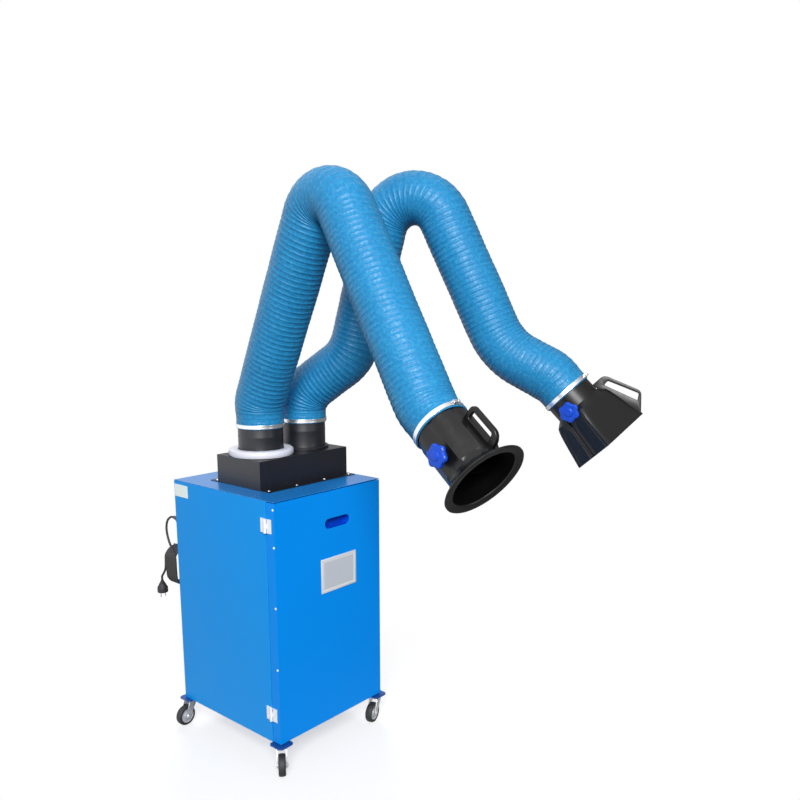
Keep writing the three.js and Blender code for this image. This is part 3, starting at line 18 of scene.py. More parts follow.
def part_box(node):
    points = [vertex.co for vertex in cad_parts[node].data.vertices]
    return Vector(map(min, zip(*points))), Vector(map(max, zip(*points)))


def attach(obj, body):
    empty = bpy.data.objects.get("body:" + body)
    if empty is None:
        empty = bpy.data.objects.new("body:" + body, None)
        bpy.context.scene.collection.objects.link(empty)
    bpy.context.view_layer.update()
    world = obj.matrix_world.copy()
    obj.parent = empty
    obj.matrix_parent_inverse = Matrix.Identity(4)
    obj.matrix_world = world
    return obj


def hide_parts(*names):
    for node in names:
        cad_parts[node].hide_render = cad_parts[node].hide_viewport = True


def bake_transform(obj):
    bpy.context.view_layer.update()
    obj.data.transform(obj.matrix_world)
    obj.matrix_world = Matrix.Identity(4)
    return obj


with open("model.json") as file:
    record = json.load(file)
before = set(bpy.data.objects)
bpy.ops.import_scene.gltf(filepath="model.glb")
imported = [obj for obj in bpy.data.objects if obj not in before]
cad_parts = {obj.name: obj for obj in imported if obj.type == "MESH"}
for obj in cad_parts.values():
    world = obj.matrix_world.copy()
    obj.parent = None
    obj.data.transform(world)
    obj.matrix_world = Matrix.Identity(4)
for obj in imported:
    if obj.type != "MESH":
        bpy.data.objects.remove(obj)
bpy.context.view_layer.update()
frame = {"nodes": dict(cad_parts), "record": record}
nodes = frame["nodes"]
joints = {joint["name"]: joint for joint in frame["record"]["behaviour"]["joints"]}

# %% [markdown]
# ## The camera
# The camera stands where the photographer stood: to the left of the front, a little above the cabinet's
# top. It could be set by eye, but the cabinet's straight edges fix the place and the lens much better.
# The small shift keeps the picture's centre where it was.

# %% Camera
CAMERA_PLACE = (-1.788, -2.127, 1.4965)
CAMERA_AZIMUTH = -50.204
CAMERA_ELEVATION = 10.5705
CAMERA_ROLL = 0.1353
CAMERA_LENS = 35.88
CAMERA_SENSOR = 36
CAMERA_SHIFT = (-0.02095, 0.0732)


def new_object(name, data):
    """Puts new data into the scene as an object."""
    made = bpy.data.objects.new(name, data)
    bpy.context.scene.collection.objects.link(made)
    return made


def shifted(x, y, z):
    return Matrix.Translation((x, y, z))


def turned(degrees, axis):
    return Matrix.Rotation(math.radians(degrees), 4, axis)


camera = new_object("camera", bpy.data.cameras.new("camera"))
camera.data.lens = CAMERA_LENS
camera.data.sensor_width = CAMERA_SENSOR
camera.data.shift_x, camera.data.shift_y = CAMERA_SHIFT
aim = turned(CAMERA_AZIMUTH, "Z") @ turned(90 - CAMERA_ELEVATION, "X") @ turned(CAMERA_ROLL, "Z")
camera.matrix_world = shifted(*CAMERA_PLACE) @ aim
bpy.context.scene.camera = camera
print("camera", CAMERA_PLACE)

# %% [markdown]
# ## Effects that several finishes share
# Paint, moulded plastic, rubber and metal all show the same few things: a little variation of tone, a
# skin of fine bumps, and faint rubbed streaks where hands and tools pass. Each could be built again in
# every material. As a node group it is built once, and a material places it with its own numbers.

# %% Node helpers
COLOUR = "NodeSocketColor"
NUMBER = "NodeSocketFloat"
# A Mix node lists the sockets of all kinds of values in one row, so they are reached by their numbers
NUMBER_A, NUMBER_B, NUMBER_OUT = 2, 3, 0
COLOUR_A, COLOUR_B, COLOUR_OUT = 6, 7, 2


def set_inputs(node, values):
    for socket, value in values.items():
        node.inputs[socket].default_value = value


def add_node(tree, kind, values=None, **options):
    """Adds a shader node, sets its options, and then the values of its open sockets."""
    node = tree.nodes.new(kind)
    for name, option in options.items():
        setattr(node, name, option)
    set_inputs(node, values or {})
    return node


def wire(tree, *links):
    """Links sockets. Each link names a node, its output, the next node and its input."""
    for source, output, target, socket in links:
        tree.links.new(source.outputs[output], target.inputs[socket])


def new_group(name, output, kind, **inputs):
    """A node group with one output, and with inputs that start from the given values."""
    group = bpy.data.node_groups.new(name, "ShaderNodeTree")
    for label, value in inputs.items():
        value_kind = COLOUR if isinstance(value, tuple) else NUMBER
        socket = group.interface.new_socket(label.replace("_", " "), in_out="INPUT", socket_type=value_kind)
        socket.default_value = value
    group.interface.new_socket(output, in_out="OUTPUT", socket_type=kind)
    return group, group.nodes.new("NodeGroupInput"), group.nodes.new("NodeGroupOutput")


def place_group(tree, group, **values):
    """Places a group in a material. An underscore in a label stands for a space."""
    spaced = {label.replace("_", " "): value for label, value in values.items()}
    return add_node(tree, "ShaderNodeGroup", spaced, node_tree=group)


print("node helpers ready")


# %% Shared effects
def tone_group():
    """Drifts a colour slowly between two tones over the piece."""
    group, given, result = new_group(
        "tone_drift", "Color", COLOUR, Tone=(1, 1, 1, 1), Deep_Tone=(0, 0, 0, 1), Scale=6.0, Amount=0.3
    )
    place = add_node(group, "ShaderNodeTexCoord")
    cloud = add_node(group, "ShaderNodeTexNoise", {"Detail": 4})
    share = add_node(group, "ShaderNodeMath", operation="MULTIPLY")
    mix = add_node(group, "ShaderNodeMix", data_type="RGBA")
    wire(
        group,
        (place, "Object", cloud, "Vector"),
        (given, "Scale", cloud, "Scale"),
        (cloud, "Fac", share, 0),
        (given, "Amount", share, 1),
        (share, 0, mix, "Factor"),
        (given, "Tone", mix, COLOUR_A),
        (given, "Deep Tone", mix, COLOUR_B),
        (mix, COLOUR_OUT, result, "Color"),
    )
    return group


def skin_group():
    """The fine height of a sprayed or moulded skin."""
    group, given, result = new_group("fine_skin", "Height", NUMBER, Scale=400.0, Coarse_Share=0.3)
    place = add_node(group, "ShaderNodeTexCoord")
    fine = add_node(group, "ShaderNodeTexNoise", {"Detail": 2})
    coarse = add_node(group, "ShaderNodeTexNoise", {"Scale": 60})
    mix = add_node(group, "ShaderNodeMix")
    wire(
        group,
        (place, "Object", fine, "Vector"),
        (place, "Object", coarse, "Vector"),
        (given, "Scale", fine, "Scale"),
        (given, "Coarse Share", mix, "Factor"),
        (fine, "Fac", mix, NUMBER_A),
        (coarse, "Fac", mix, NUMBER_B),
        (mix, NUMBER_OUT, result, "Height"),
    )
    return group


def rub_group():
    """Roughness that rises in soft rubbed patches and thin upright streaks."""
    group, given, result = new_group("rubbed_streaks", "Roughness", NUMBER, Base=0.35, Rise=0.15)
    place = add_node(group, "ShaderNodeTexCoord")
    stretch = add_node(group, "ShaderNodeMapping", {"Scale": (26, 26, 3)})
    streaks = add_node(group, "ShaderNodeTexNoise", {"Scale": 3, "Detail": 5})
    window = add_node(group, "ShaderNodeMapRange", {"From Min": 0.48, "From Max": 0.75})
    rise = add_node(group, "ShaderNodeMath", operation="MULTIPLY_ADD")
    wire(
        group,
        (place, "Object", stretch, "Vector"),
        (stretch, "Vector", streaks, "Vector"),
        (streaks, "Fac", window, "Value"),
        (window, "Result", rise, 0),
        (given, "Rise", rise, 1),
        (given, "Base", rise, 2),
        (rise, 0, result, "Roughness"),
    )
    return group


TONE_DRIFT = tone_group()
FINE_SKIN = skin_group()
RUBBED = rub_group()
print("shared effects", [group.name for group in bpy.data.node_groups])

# %% [markdown]
# ## Finishes
# The cabinet has a glossy blue powder coat, the plenum box and hoods are black, the knobs are a bright
# blue plastic and the clamps are plated steel. One function makes them all: a Principled shader fed by
# the shared effects, with two near tones, so that no surface is one flat colour.

# %% The finish
COAT_ROUGHNESS = 0.08
TONE_AMOUNT = 0.35
GRAIN_HEIGHT = 0.001


def new_material(name):
    """A material, its node tree and its Principled shader."""
    material = bpy.data.materials.new(name)
    material.use_nodes = True
    return material, material.node_tree, material.node_tree.nodes["Principled BSDF"]


def finish_material(
    name, tone, deep, roughness, rise=0.08, metal=0.0, coat=0.0, gloss=0.5, skin=400.0, bump=0.05, drift=6.0
):
    material, tree, shader = new_material(name)
    set_inputs(shader, {"Metallic": metal, "Coat Weight": coat})
    set_inputs(shader, {"Coat Roughness": COAT_ROUGHNESS, "Specular IOR Level": gloss})
    colour = place_group(
        tree, TONE_DRIFT, Tone=(*tone, 1), Deep_Tone=(*deep, 1), Scale=drift, Amount=TONE_AMOUNT
    )
    rubbed = place_group(tree, RUBBED, Base=roughness, Rise=rise)
    grain = place_group(tree, FINE_SKIN, Scale=skin)
    relief = add_node(tree, "ShaderNodeBump", {"Strength": bump, "Distance": GRAIN_HEIGHT})
    wire(
        tree,
        (colour, "Color", shader, "Base Color"),
        (rubbed, "Roughness", shader, "Roughness"),
        (grain, "Height", relief, "Height"),
        (relief, "Normal", shader, "Normal"),
    )
    return material


print("finish function ready")

# %% Paints
SHEET_COAT = {"rise": 0.05, "skin": 520, "drift": 1.6}
# The wrap's blue is set paler and greener than the door's: a painted sheen.
wrap_paint_painted_sheen = finish_material(
    "blue_powder_coat_painted_sheen", (0.001, 0.295, 0.82), (0.0008, 0.265, 0.77), 0.32,
    gloss=0.13, bump=0.012, **SHEET_COAT,
)
# The same paint set deeper for the door: a painted shade.
door_paint_painted_shade = finish_material(
    "blue_door_painted_shade", (0.001, 0.262, 0.85), (0.0008, 0.23, 0.8), 0.32,
    gloss=0.1, bump=0.012, **SHEET_COAT,
)
gloss_blue_paint = finish_material(
    "blue_gloss_top", (0.008, 0.2, 0.58), (0.006, 0.16, 0.48), 0.24,
    coat=0.12, gloss=0.4, bump=0.01, **SHEET_COAT,
)
dark_blue_paint = finish_material(
    "dark_blue_paint", (0.006, 0.06, 0.26), (0.003, 0.03, 0.16), 0.36, skin=500, bump=0.1
)
# The door's paint set much deeper for the cup: a painted shade of the recess.
cup_blue_painted_shade = finish_material(
    "cup_painted_shade_blue", (0.001, 0.05, 0.5), (0.001, 0.035, 0.36), 0.4, gloss=0.1, skin=500, bump=0.03
)
black_paint = finish_material(
    "black_powder_coat", (0.005, 0.006, 0.011), (0.003, 0.003, 0.006), 0.4, gloss=0.55, skin=600, bump=0.06
)
print("paints", [material.name for material in bpy.data.materials])

# %% Mouldings, metals, rubber and paper
black_plastic = finish_material(
    "black_moulding", (0.004, 0.004, 0.0045), (0.002, 0.002, 0.0025), 0.32, gloss=0.33, skin=900, bump=0.05
)
# Near black: a painted shade for the hoods' insides and the parts inside them.
hood_inside_painted_shade = finish_material(
    "hood_inside_painted_shade", (0.0016, 0.0016, 0.002), (0.001, 0.001, 0.001), 0.7, gloss=0.03, skin=700, bump=0.1
)
knob_blue = finish_material(
    "blue_moulding", (0.003, 0.06, 0.5), (0.002, 0.035, 0.36), 0.32, gloss=0.35, skin=900, bump=0.05
)
white_plastic = finish_material(
    "white_moulding", (0.82, 0.84, 0.88), (0.7, 0.72, 0.76), 0.35, skin=700, bump=0.05
)
ring_white = finish_material(
    "white_ring", (0.66, 0.67, 0.74), (0.57, 0.58, 0.65), 0.35, skin=700, bump=0.05
)
zinc = finish_material(
    "zinc_plate", (0.78, 0.79, 0.81), (0.6, 0.62, 0.66), 0.28, rise=0.18, metal=1.0, drift=40, bump=0.05
)
steel = finish_material(
    "bright_steel", (0.55, 0.56, 0.58), (0.4, 0.41, 0.43), 0.34, rise=0.2, metal=1.0, drift=30, bump=0.06
)
bare_plate = finish_material(
    "brushed_plate", (0.8, 0.82, 0.85), (0.72, 0.74, 0.77), 0.42, rise=0.15, metal=0.25, drift=18, bump=0.05
)
plate_grey = finish_material(
    "plate_panel", (0.6, 0.65, 0.72), (0.52, 0.57, 0.64), 0.45, metal=0.2, drift=18, bump=0.03
)
blank_paper = finish_material("blank_label", (0.8, 0.9, 0.89), (0.75, 0.85, 0.84), 0.5, skin=300, bump=0.03)
rubber = finish_material("tyre_rubber", (0.016, 0.016, 0.017), (0.009, 0.009, 0.01), 0.62, skin=700, bump=0.2)
hub_grey = finish_material("wheel_hub", (0.42, 0.43, 0.45), (0.3, 0.31, 0.33), 0.4, skin=700, bump=0.06)
filter_paper = finish_material("filter_paper", (0.76, 0.72, 0.6), (0.6, 0.56, 0.45), 0.85, skin=250, bump=0.2)
print("finishes", len(bpy.data.materials))

# %% [markdown]
# ## The hose cloth
# The hose is coated cloth stretched over a wire spiral. A pattern in room coordinates would cut across
# its bends, so the finish reads the hose's own UV map: one way is the angle round the hose, the other is
# metres along it. The coat is paler and smoother where it crinkles up. The wire's ridge and a fine weave
# stand out in its relief.

# %% Hose finish
RIB_PITCH = 0.0165
HOSE_GLOSS = 0.26
WEAVE_CELLS = (210, 360, 1)
CRINKLE_CELLS = (60, 112, 1)
WEAVE_SHARE = 0.18
RIDGE_SHARE = 0.55
RIDGE_POWER = 3
CLOTH_TONE = (0.011, 0.2, 0.425, 1)
CLOTH_DEEP = (0.006, 0.12, 0.3, 1)
CLOTH_PALE = (0.04, 0.32, 0.58, 1)


def hose_material():
    material, tree, shader = new_material("coated_hose_cloth")
    set_inputs(shader, {"Specular IOR Level": HOSE_GLOSS})
    where = add_node(tree, "ShaderNodeUVMap", uv_map="hose_map")
    weave_scale = add_node(tree, "ShaderNodeMapping", {"Scale": WEAVE_CELLS})
    weave = add_node(tree, "ShaderNodeTexVoronoi", {"Scale": 1})
    crinkle_scale = add_node(tree, "ShaderNodeMapping", {"Scale": CRINKLE_CELLS})
    crinkle = add_node(tree, "ShaderNodeTexNoise", {"Scale": 1, "Detail": 3, "Distortion": 0.6})
    heights = add_node(tree, "ShaderNodeMath", {1: WEAVE_SHARE}, operation="MULTIPLY_ADD")
    axes = add_node(tree, "ShaderNodeSeparateXYZ")
    turns = add_node(tree, "ShaderNodeMath", {1: 1 / RIB_PITCH}, operation="MULTIPLY_ADD")
    angle = add_node(tree, "ShaderNodeMath", {1: 2 * math.pi}, operation="MULTIPLY")
    swing = add_node(tree, "ShaderNodeMath", operation="COSINE")
    upward = add_node(tree, "ShaderNodeMapRange", {"From Min": -1})
    ridge = add_node(tree, "ShaderNodeMath", {1: RIDGE_POWER}, operation="POWER")
    ridged = add_node(tree, "ShaderNodeMath", {1: RIDGE_SHARE}, operation="MULTIPLY_ADD")
    relief = add_node(tree, "ShaderNodeBump", {"Strength": 0.6, "Distance": 0.002})
    colour = place_group(tree, TONE_DRIFT, Tone=CLOTH_TONE, Deep_Tone=CLOTH_DEEP, Scale=9, Amount=0.6)
    pale = add_node(tree, "ShaderNodeMix", {COLOUR_B: CLOTH_PALE}, data_type="RGBA")
    window = add_node(tree, "ShaderNodeMapRange", {"From Min": 0.42, "From Max": 0.72, "To Max": 0.5})
    rough_range = {"From Min": 0.3, "From Max": 0.7, "To Min": 0.46, "To Max": 0.28}
    rough = add_node(tree, "ShaderNodeMapRange", rough_range)
    wire(
        tree,
        (where, "UV", weave_scale, "Vector"),
        (weave_scale, "Vector", weave, "Vector"),
        (where, "UV", crinkle_scale, "Vector"),
        (crinkle_scale, "Vector", crinkle, "Vector"),
        (weave, "Distance", heights, 0),
        (crinkle, "Fac", heights, 2),
        (where, "UV", axes, "Vector"),
        (axes, "Y", turns, 0),
        (axes, "X", turns, 2),
        (turns, 0, angle, 0),
        (angle, 0, swing, 0),
        (swing, 0, upward, "Value"),
        (upward, "Result", ridge, 0),
        (ridge, 0, ridged, 0),
        (heights, 0, ridged, 2),
        (ridged, 0, relief, "Height"),
        (relief, "Normal", shader, "Normal"),
        (crinkle, "Fac", window, "Value"),
        (window, "Result", pale, "Factor"),
        (colour, "Color", pale, COLOUR_A),
        (pale, COLOUR_OUT, shader, "Base Color"),
        (crinkle, "Fac", rough, "Value"),
        (rough, "Result", shader, "Roughness"),
    )
    return material


hose_cloth = hose_material()
print("hose finish", hose_cloth.name)

# %% [markdown]
# ## Small tools
# Most pieces of this machine are turned, pressed or folded, so a profile spun round an axis makes most of
# them. A piece is shaped round its own axis first, because that is easy to measure, and is then moved to
# its place in the mesh itself. The last tool puts it on the body it moves with.

# %% Shaping helpers
SHARP = math.radians(27)
WELD_DISTANCE = 1e-6
TO_LEFT, TO_FRONT, TO_REAR, UP = (-1, 0, 0), (0, -1, 0), (0, 1, 0), (0, 0, 1)


def spun(profile, steps):
    """A line of (radius, height) corners spun round Z. A line that stays off the axis is closed first."""
    bm = bmesh.new()
    corners = [bm.verts.new((r, 0, h)) for r, h in profile]
    if profile[0][0] > 0 and profile[-1][0] > 0:
        corners.append(corners[0])
    edges = [bm.edges.new(pair) for pair in zip(corners, corners[1:])]
    whole = list(bm.verts) + edges
    bmesh.ops.spin(
        bm, geom=whole, cent=(0, 0, 0), axis=UP, angle=2 * math.pi, steps=steps, use_merge=True
    )
    bmesh.ops.remove_doubles(bm, verts=bm.verts, dist=WELD_DISTANCE)
    return bm


def moved(bm, matrix):
    bmesh.ops.transform(bm, matrix=matrix, verts=bm.verts)
    return bm


def turned_to(direction, place):
    """A matrix that takes Z to a direction and the origin to a place."""
    return shifted(*place) @ Vector(direction).to_track_quat("Z", "Y").to_matrix().to_4x4()


def joined(*parts):
    """Several meshes in one."""
    whole = bmesh.new()
    for part in parts:
        shell = bpy.data.meshes.new("shell")
        part.to_mesh(shell)
        part.free()
        whole.from_mesh(shell)
        bpy.data.meshes.remove(shell)
    return whole


print("shaping helpers ready")


# %% Pieces and their bodies
def mesh_object(bm, name, material, sharp=SHARP):
    """Makes an object of a mesh, smooth but for the edges that turn more than an angle."""
    bmesh.ops.recalc_face_normals(bm, faces=bm.faces)
    mesh = bpy.data.meshes.new(name)
    bm.to_mesh(mesh)
    bm.free()
    mesh.materials.append(material)
    mesh.shade_smooth()
    if sharp:
        mesh.set_sharp_from_angle(angle=sharp)
    return new_object(name, mesh)


def put(bm, name, body, material, slot, stands_for=()):
    """Makes a piece that rides on one body, and hides the measured nodes that it stands for."""
    piece = mesh_object(bm, name, material)
    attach(piece, body)
    if stands_for:
        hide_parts(*stands_for)
    return piece


print("pieces can be placed")

# %% [markdown]
# ## The mains cord
# The cord leaves the rear panel through a tapered gland, falls, and is wound into a hank on a peg behind
# the cabinet. A machine like this has a lead of three to five metres. A curve with a round bevel keeps
# one thickness on every bend, so the cord is a curve. It follows the loops of the measured model and ends
# in the plug.

# %% Cord route
GLAND_END = Vector((-0.222, 0.305, 0.766))
HANK_MIDDLE = Vector((-0.188, 0.295, 0.578))
HANK_RADIUS = 0.044
HANK_STRAIGHT = 0.048
HANK_PITCH = 0.0092
HANK_LOOPS = 7
HANK_LEAD = 0.012
HANK_TAIL = 0.062
HANK_TAIL_SWING = 0.029
TAIL_SHARES = ((0.3, 0.2), (0.55, 0.6), (0.75, 0.95), (0.87, 1), (1, 1))
LOOP_STEPS = 24


def hank_point(turn):
    angle = math.pi + turn * 2 * math.pi
    rise = math.sin(angle)
    lift = 0 if abs(rise) < 1e-6 else math.copysign(HANK_STRAIGHT / 2, rise)
    x = HANK_MIDDLE.x + HANK_RADIUS * math.cos(angle)
    return Vector((x, HANK_MIDDLE.y + HANK_PITCH * turn, HANK_MIDDLE.z + HANK_RADIUS * rise + lift))


def cord_route():
    """The free fall from the gland, the loops, and the tail that ends in the plug."""
    left = HANK_MIDDLE.x - HANK_RADIUS
    low = HANK_MIDDLE.z + HANK_LEAD
    x, y, z = GLAND_END
    free = [
        (x, y, z), (x, y + 0.008, z), (x, y + 0.024, z - 0.004), (x - 0.002, y + 0.042, z - 0.022),
        (x - 0.005, y + 0.044, z - 0.055), (left + 0.002, y + 0.026, z - 0.095),
        (left, HANK_MIDDLE.y + 0.004, low + 0.04), (left, HANK_MIDDLE.y, low + 0.016),
        (left, HANK_MIDDLE.y, low),
    ]
    loops = [hank_point(i / LOOP_STEPS) for i in range(HANK_LOOPS * LOOP_STEPS + 1)]
    tail = [loops[-1] + Vector((0, HANK_TAIL_SWING * out, -HANK_TAIL * down)) for down, out in TAIL_SHARES]
    return [Vector(p) for p in free] + loops + tail


def smooth_route(points, each=3):
    """Points on a Catmull-Rom line through the given ones."""
    ends = [2 * points[0] - points[1], *points, 2 * points[-1] - points[-2]]
    result = []
    for a, b, c, d in zip(ends, ends[1:], ends[2:], ends[3:]):
        for k in range(each):
            t = k / each
            square, cube = 2 * a - 5 * b + 4 * c - d, 3 * b - a - 3 * c + d
            result.append(0.5 * (2 * b + (c - a) * t + square * t * t + cube * t ** 3))
    return [*result, points[-1]]


route = smooth_route(cord_route())

# %% Cord
CORD_DIAMETER = 0.008


def cord_curve(points, name):
    data = bpy.data.curves.new(name, "CURVE")
    data.dimensions = "3D"
    data.bevel_depth = CORD_DIAMETER / 2
    data.bevel_resolution = 4
    data.use_fill_caps = True
    spline = data.splines.new("POLY")
    spline.points.add(len(points) - 1)
    for point, at in zip(spline.points, points):
        point.co = (*at, 1)
    data.materials.append(rubber)
    return new_object(name, data)


mains_cord = cord_curve(route, "mains_cord")
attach(mains_cord, "cabinet")
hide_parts("power_cord", "cord_hank")
print("cord points", len(route))

# %% [markdown]
# ## Gland and plug
# The gland is a short ribbed taper round the cord, which keeps it from kinking where it leaves the panel.
# The plug is a tapered rubber grip with two round pins. Both are round, so both are spun from a profile.

# %% Gland
GLAND_SEAT = (-0.222, 0.265, 0.766)
GLAND_PROFILE = [
    (0.0045, -0.008), (0.014, -0.008), (0.014, -0.0023), (0.011, -0.0023), (0.011, 0.0003), (0.015, 0.0003),
    (0.015, 0.009), (0.0115, 0.012), (0.0095, 0.02), (0.0085, 0.022), (0.0085, 0.024), (0.0075, 0.026),
    (0.0075, 0.029), (0.0065, 0.031), (0.006, 0.04), (0.0045, 0.04),
]
gland = moved(spun(GLAND_PROFILE, 32), turned_to(TO_REAR, GLAND_SEAT))
put(gland, "gland_boot", "cabinet", black_plastic, "black_plastic", ("cable_gland",))
print("gland at", GLAND_SEAT)

# %% Plug
PLUG_PROFILE = [
    (0, -0.046), (0.0165, -0.046), (0.0188, -0.0445), (0.019, -0.042), (0.019, -0.03),
    (0.0185, -0.026), (0.0135, -0.018), (0.012, -0.013), (0.0095, -0.011), (0.0095, -0.009),
    (0.0075, -0.0075), (0.0075, -0.0055), (0.0055, -0.004), (0.0055, 0), (0, 0),
]
PIN_PROFILE = [(0, -0.064), (0.0016, -0.064), (0.0024, -0.062), (0.0024, -0.045), (0, -0.045)]
PIN_REACH = 0.0095
plug_low, plug_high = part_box("power_plug")
plug_x, plug_y = (plug_low[0] + plug_high[0]) / 2, (plug_low[1] + plug_high[1]) / 2
plug_top = plug_high[2]
plug = moved(spun(PLUG_PROFILE, 40), shifted(plug_x, plug_y, plug_top))
plug_body = put(plug, "plug_grip", "cabinet", rubber, "rubber", ("power_plug",))
pins = [
    moved(spun(PIN_PROFILE, 16), shifted(plug_x + side * PIN_REACH, plug_y, plug_top)) for side in (-1, 1)
]
plug_pins = put(joined(*pins), "plug_pins", "cabinet", zinc, "zinc")
print("plug at", round(plug_x, 3), round(plug_y, 3), round(plug_top, 3))

# %% [markdown]
# ## The cabinet
# Folded sheet has small round corners. The measured panels already have the right folds, so they stay,
# and modifiers merge their flat triangles and round their edges. The wrap and the door have one paint,
# but the wrap's blue is set paler, a painted sheen, and the door's deeper, a painted shade.

# %% Cabinet panels
SHEET_EDGE = 0.0016
WELD_GAP = 0.00002
FLAT_ANGLE = math.radians(0.5)
FOLD_ANGLE = math.radians(40)


def dress(node, material, edge):
    """Keeps a measured node and gives it a finish and rounded edges."""
    shown = nodes[node]
    shown.data.materials.clear()
    shown.data.materials.append(material)
    weld = shown.modifiers.new("weld", "WELD")
    weld.merge_threshold = WELD_GAP
    merge = shown.modifiers.new("merge_flats", "DECIMATE")
    merge.decimate_type = "DISSOLVE"
    merge.angle_limit = FLAT_ANGLE
    bevel = shown.modifiers.new("edges", "BEVEL")
    bevel.width = edge
    bevel.segments = 2
    bevel.limit_method = "ANGLE"
    bevel.angle_limit = FOLD_ANGLE
    shown.modifiers.new("even_normals", "WEIGHTED_NORMAL").keep_sharp = True


for panel in ("cabinet_shell", "base_pan"):
    dress(panel, wrap_paint_painted_sheen, SHEET_EDGE)
# The door gets the deeper copy of the paint, a painted shade.
dress("front_door", door_paint_painted_shade, SHEET_EDGE)
dress("top_panel", gloss_blue_paint, SHEET_EDGE)
print("cabinet panels dressed")

# %% [markdown]
# ## What is on the door
# A pressed cup closes the hand slot from behind. Its outline is pushed in, narrowed and given a wall, as
# a press would do it. A bare plate with a sunk panel is riveted to the door's front, and a blank label
# sits on the left side.

# %% Hand cup
FRONT = -0.265
SLOT_CENTRE = (0.032, 0.798)
SLOT_SIZE = (0.112, 0.034)
CUP_MARGIN = 0.004
CUP_DEPTH = 0.022
CUP_TAPER = (0.92, 0.8, 1)
CUP_WALL = 0.0012
CUP_SETBACK = 0.0022
CORNER_STEPS = 10


def rounded_outline(width, height, radius):
    points = []
    for turn, (sx, sy) in enumerate(((1, 1), (-1, 1), (-1, -1), (1, -1))):
        for k in range(CORNER_STEPS + 1):
            angle = math.pi / 2 * (turn + k / CORNER_STEPS)
            x = sx * (width / 2 - radius) + radius * math.cos(angle)
            points.append((x, sy * (height / 2 - radius) + radius * math.sin(angle)))
    return points


def pushed(bm, faces, way):
    """Extrudes faces and moves what is new. Gives the moved points."""
    grown = bmesh.ops.extrude_face_region(bm, geom=faces)
    points = [v for v in grown["geom"] if isinstance(v, bmesh.types.BMVert)]
    bmesh.ops.translate(bm, vec=way, verts=points)
    return points


def hand_cup():
    """A cup pressed in behind the door's hand slot, open to the front."""
    width, height = (side + CUP_MARGIN for side in SLOT_SIZE)
    bm = bmesh.new()
    outline = rounded_outline(width, height, SLOT_SIZE[1] / 2)
    face = bm.faces.new([bm.verts.new((x, y, 0)) for x, y in outline])
    far = pushed(bm, [face], (0, 0, -CUP_DEPTH))
    bmesh.ops.scale(bm, vec=CUP_TAPER, verts=far)
    bmesh.ops.delete(bm, geom=[face], context="FACES_ONLY")
    bmesh.ops.recalc_face_normals(bm, faces=bm.faces)
    bmesh.ops.solidify(bm, geom=bm.faces, thickness=CUP_WALL)
    return moved(bm, shifted(SLOT_CENTRE[0], FRONT + CUP_SETBACK, SLOT_CENTRE[1]) @ turned(90, "X"))


# The cup's deep blue is a painted shade of the recess behind the slot.
put(hand_cup(), "door_hand_cup", "door", cup_blue_painted_shade, "dark_blue_paint")
print("hand cup", SLOT_SIZE)

# %% Bare plate
PLATE_LOW, PLATE_HIGH = (-0.047, 0.563), (0.117, 0.681)
PLATE_BORDER = 0.011
PLATE_STEP = 0.0006
PANEL_INSET = 0.0125


def soften(bm, width, segments, angle=SHARP):
    """Rounds every edge that turns more than an angle."""
    edges = [e for e in bm.edges if len(e.link_faces) == 2 and e.calc_face_angle(0) > angle]
    shape = {"affect": "EDGES", "segments": segments, "profile": 0.5, "material": -1, "clamp_overlap": True}
    bmesh.ops.bevel(bm, geom=edges, offset=width, **shape)


def block(low, high, edge, segments):
    """A box between two corners with its edges rounded."""
    bm = bmesh.new()
    bmesh.ops.create_cube(bm, size=1)
    size = [b - a for a, b in zip(low, high)]
    middle = [(a + b) / 2 for a, b in zip(low, high)]
    bmesh.ops.scale(bm, vec=size, verts=bm.verts)
    bmesh.ops.translate(bm, vec=middle, verts=bm.verts)
    soften(bm, edge, segments)
    return bm


def plate_slab(inset, near, far, edge, segments):
    """A thin slab on the door's front, as large as the plate less an inset."""
    low = (PLATE_LOW[0] + inset, FRONT - near, PLATE_LOW[1] + inset)
    high = (PLATE_HIGH[0] - inset, FRONT - far, PLATE_HIGH[1] - inset)
    return block(low, high, edge, segments)


plate_bm = plate_slab(inset=0, near=0.0014, far=0.0001, edge=0.0005, segments=2)
front_faces = [f for f in plate_bm.faces if f.normal.y < -0.99 and f.calc_area() > 0.01]
bmesh.ops.inset_region(plate_bm, faces=front_faces, thickness=PLATE_BORDER, depth=0)
bmesh.ops.inset_region(plate_bm, faces=front_faces, thickness=PLATE_STEP, depth=-PLATE_STEP)
put(plate_bm, "bare_plate", "door", bare_plate, "zinc")
sunk_panel = plate_slab(inset=PANEL_INSET, near=0.0011, far=0.0006, edge=0.0001, segments=1)
put(sunk_panel, "bare_plate_panel", "door", plate_grey, "zinc")
print("plate from", PLATE_LOW, "to", PLATE_HIGH)

# %% Rivets and label
CABINET_HALF = 0.24
LABEL_LOW = (-CABINET_HALF - 0.0005, 0.186, 0.856)
LABEL_HIGH = (-CABINET_HALF - 0.0001, 0.262, 0.899)
HEAD_RINGS = 5
HEAD_STEPS = 20
HEAD_SEAT = 0.001
PLATE_RIVET = {"radius": 0.0024, "height": 0.0013}
RIVET_INSET = 0.0055
RETURN_RIVET = {"radius": 0.0042, "height": 0.0022}
RETURN_RIVET_Y = -0.2605
RETURN_RIVETS = (0.888, 0.767, 0.568, 0.36)


def dome_head(place, direction, radius, height):
    """A round rivet or screw head on a surface."""
    angles = [math.pi / 2 * k / HEAD_RINGS for k in range(1, HEAD_RINGS)]
    dome = [(radius * math.cos(a), height * math.sin(a)) for a in angles]
    profile = [(0, -HEAD_SEAT), (radius, -HEAD_SEAT), (radius, 0), *dome, (0, height)]
    return moved(spun(profile, HEAD_STEPS), turned_to(direction, place))


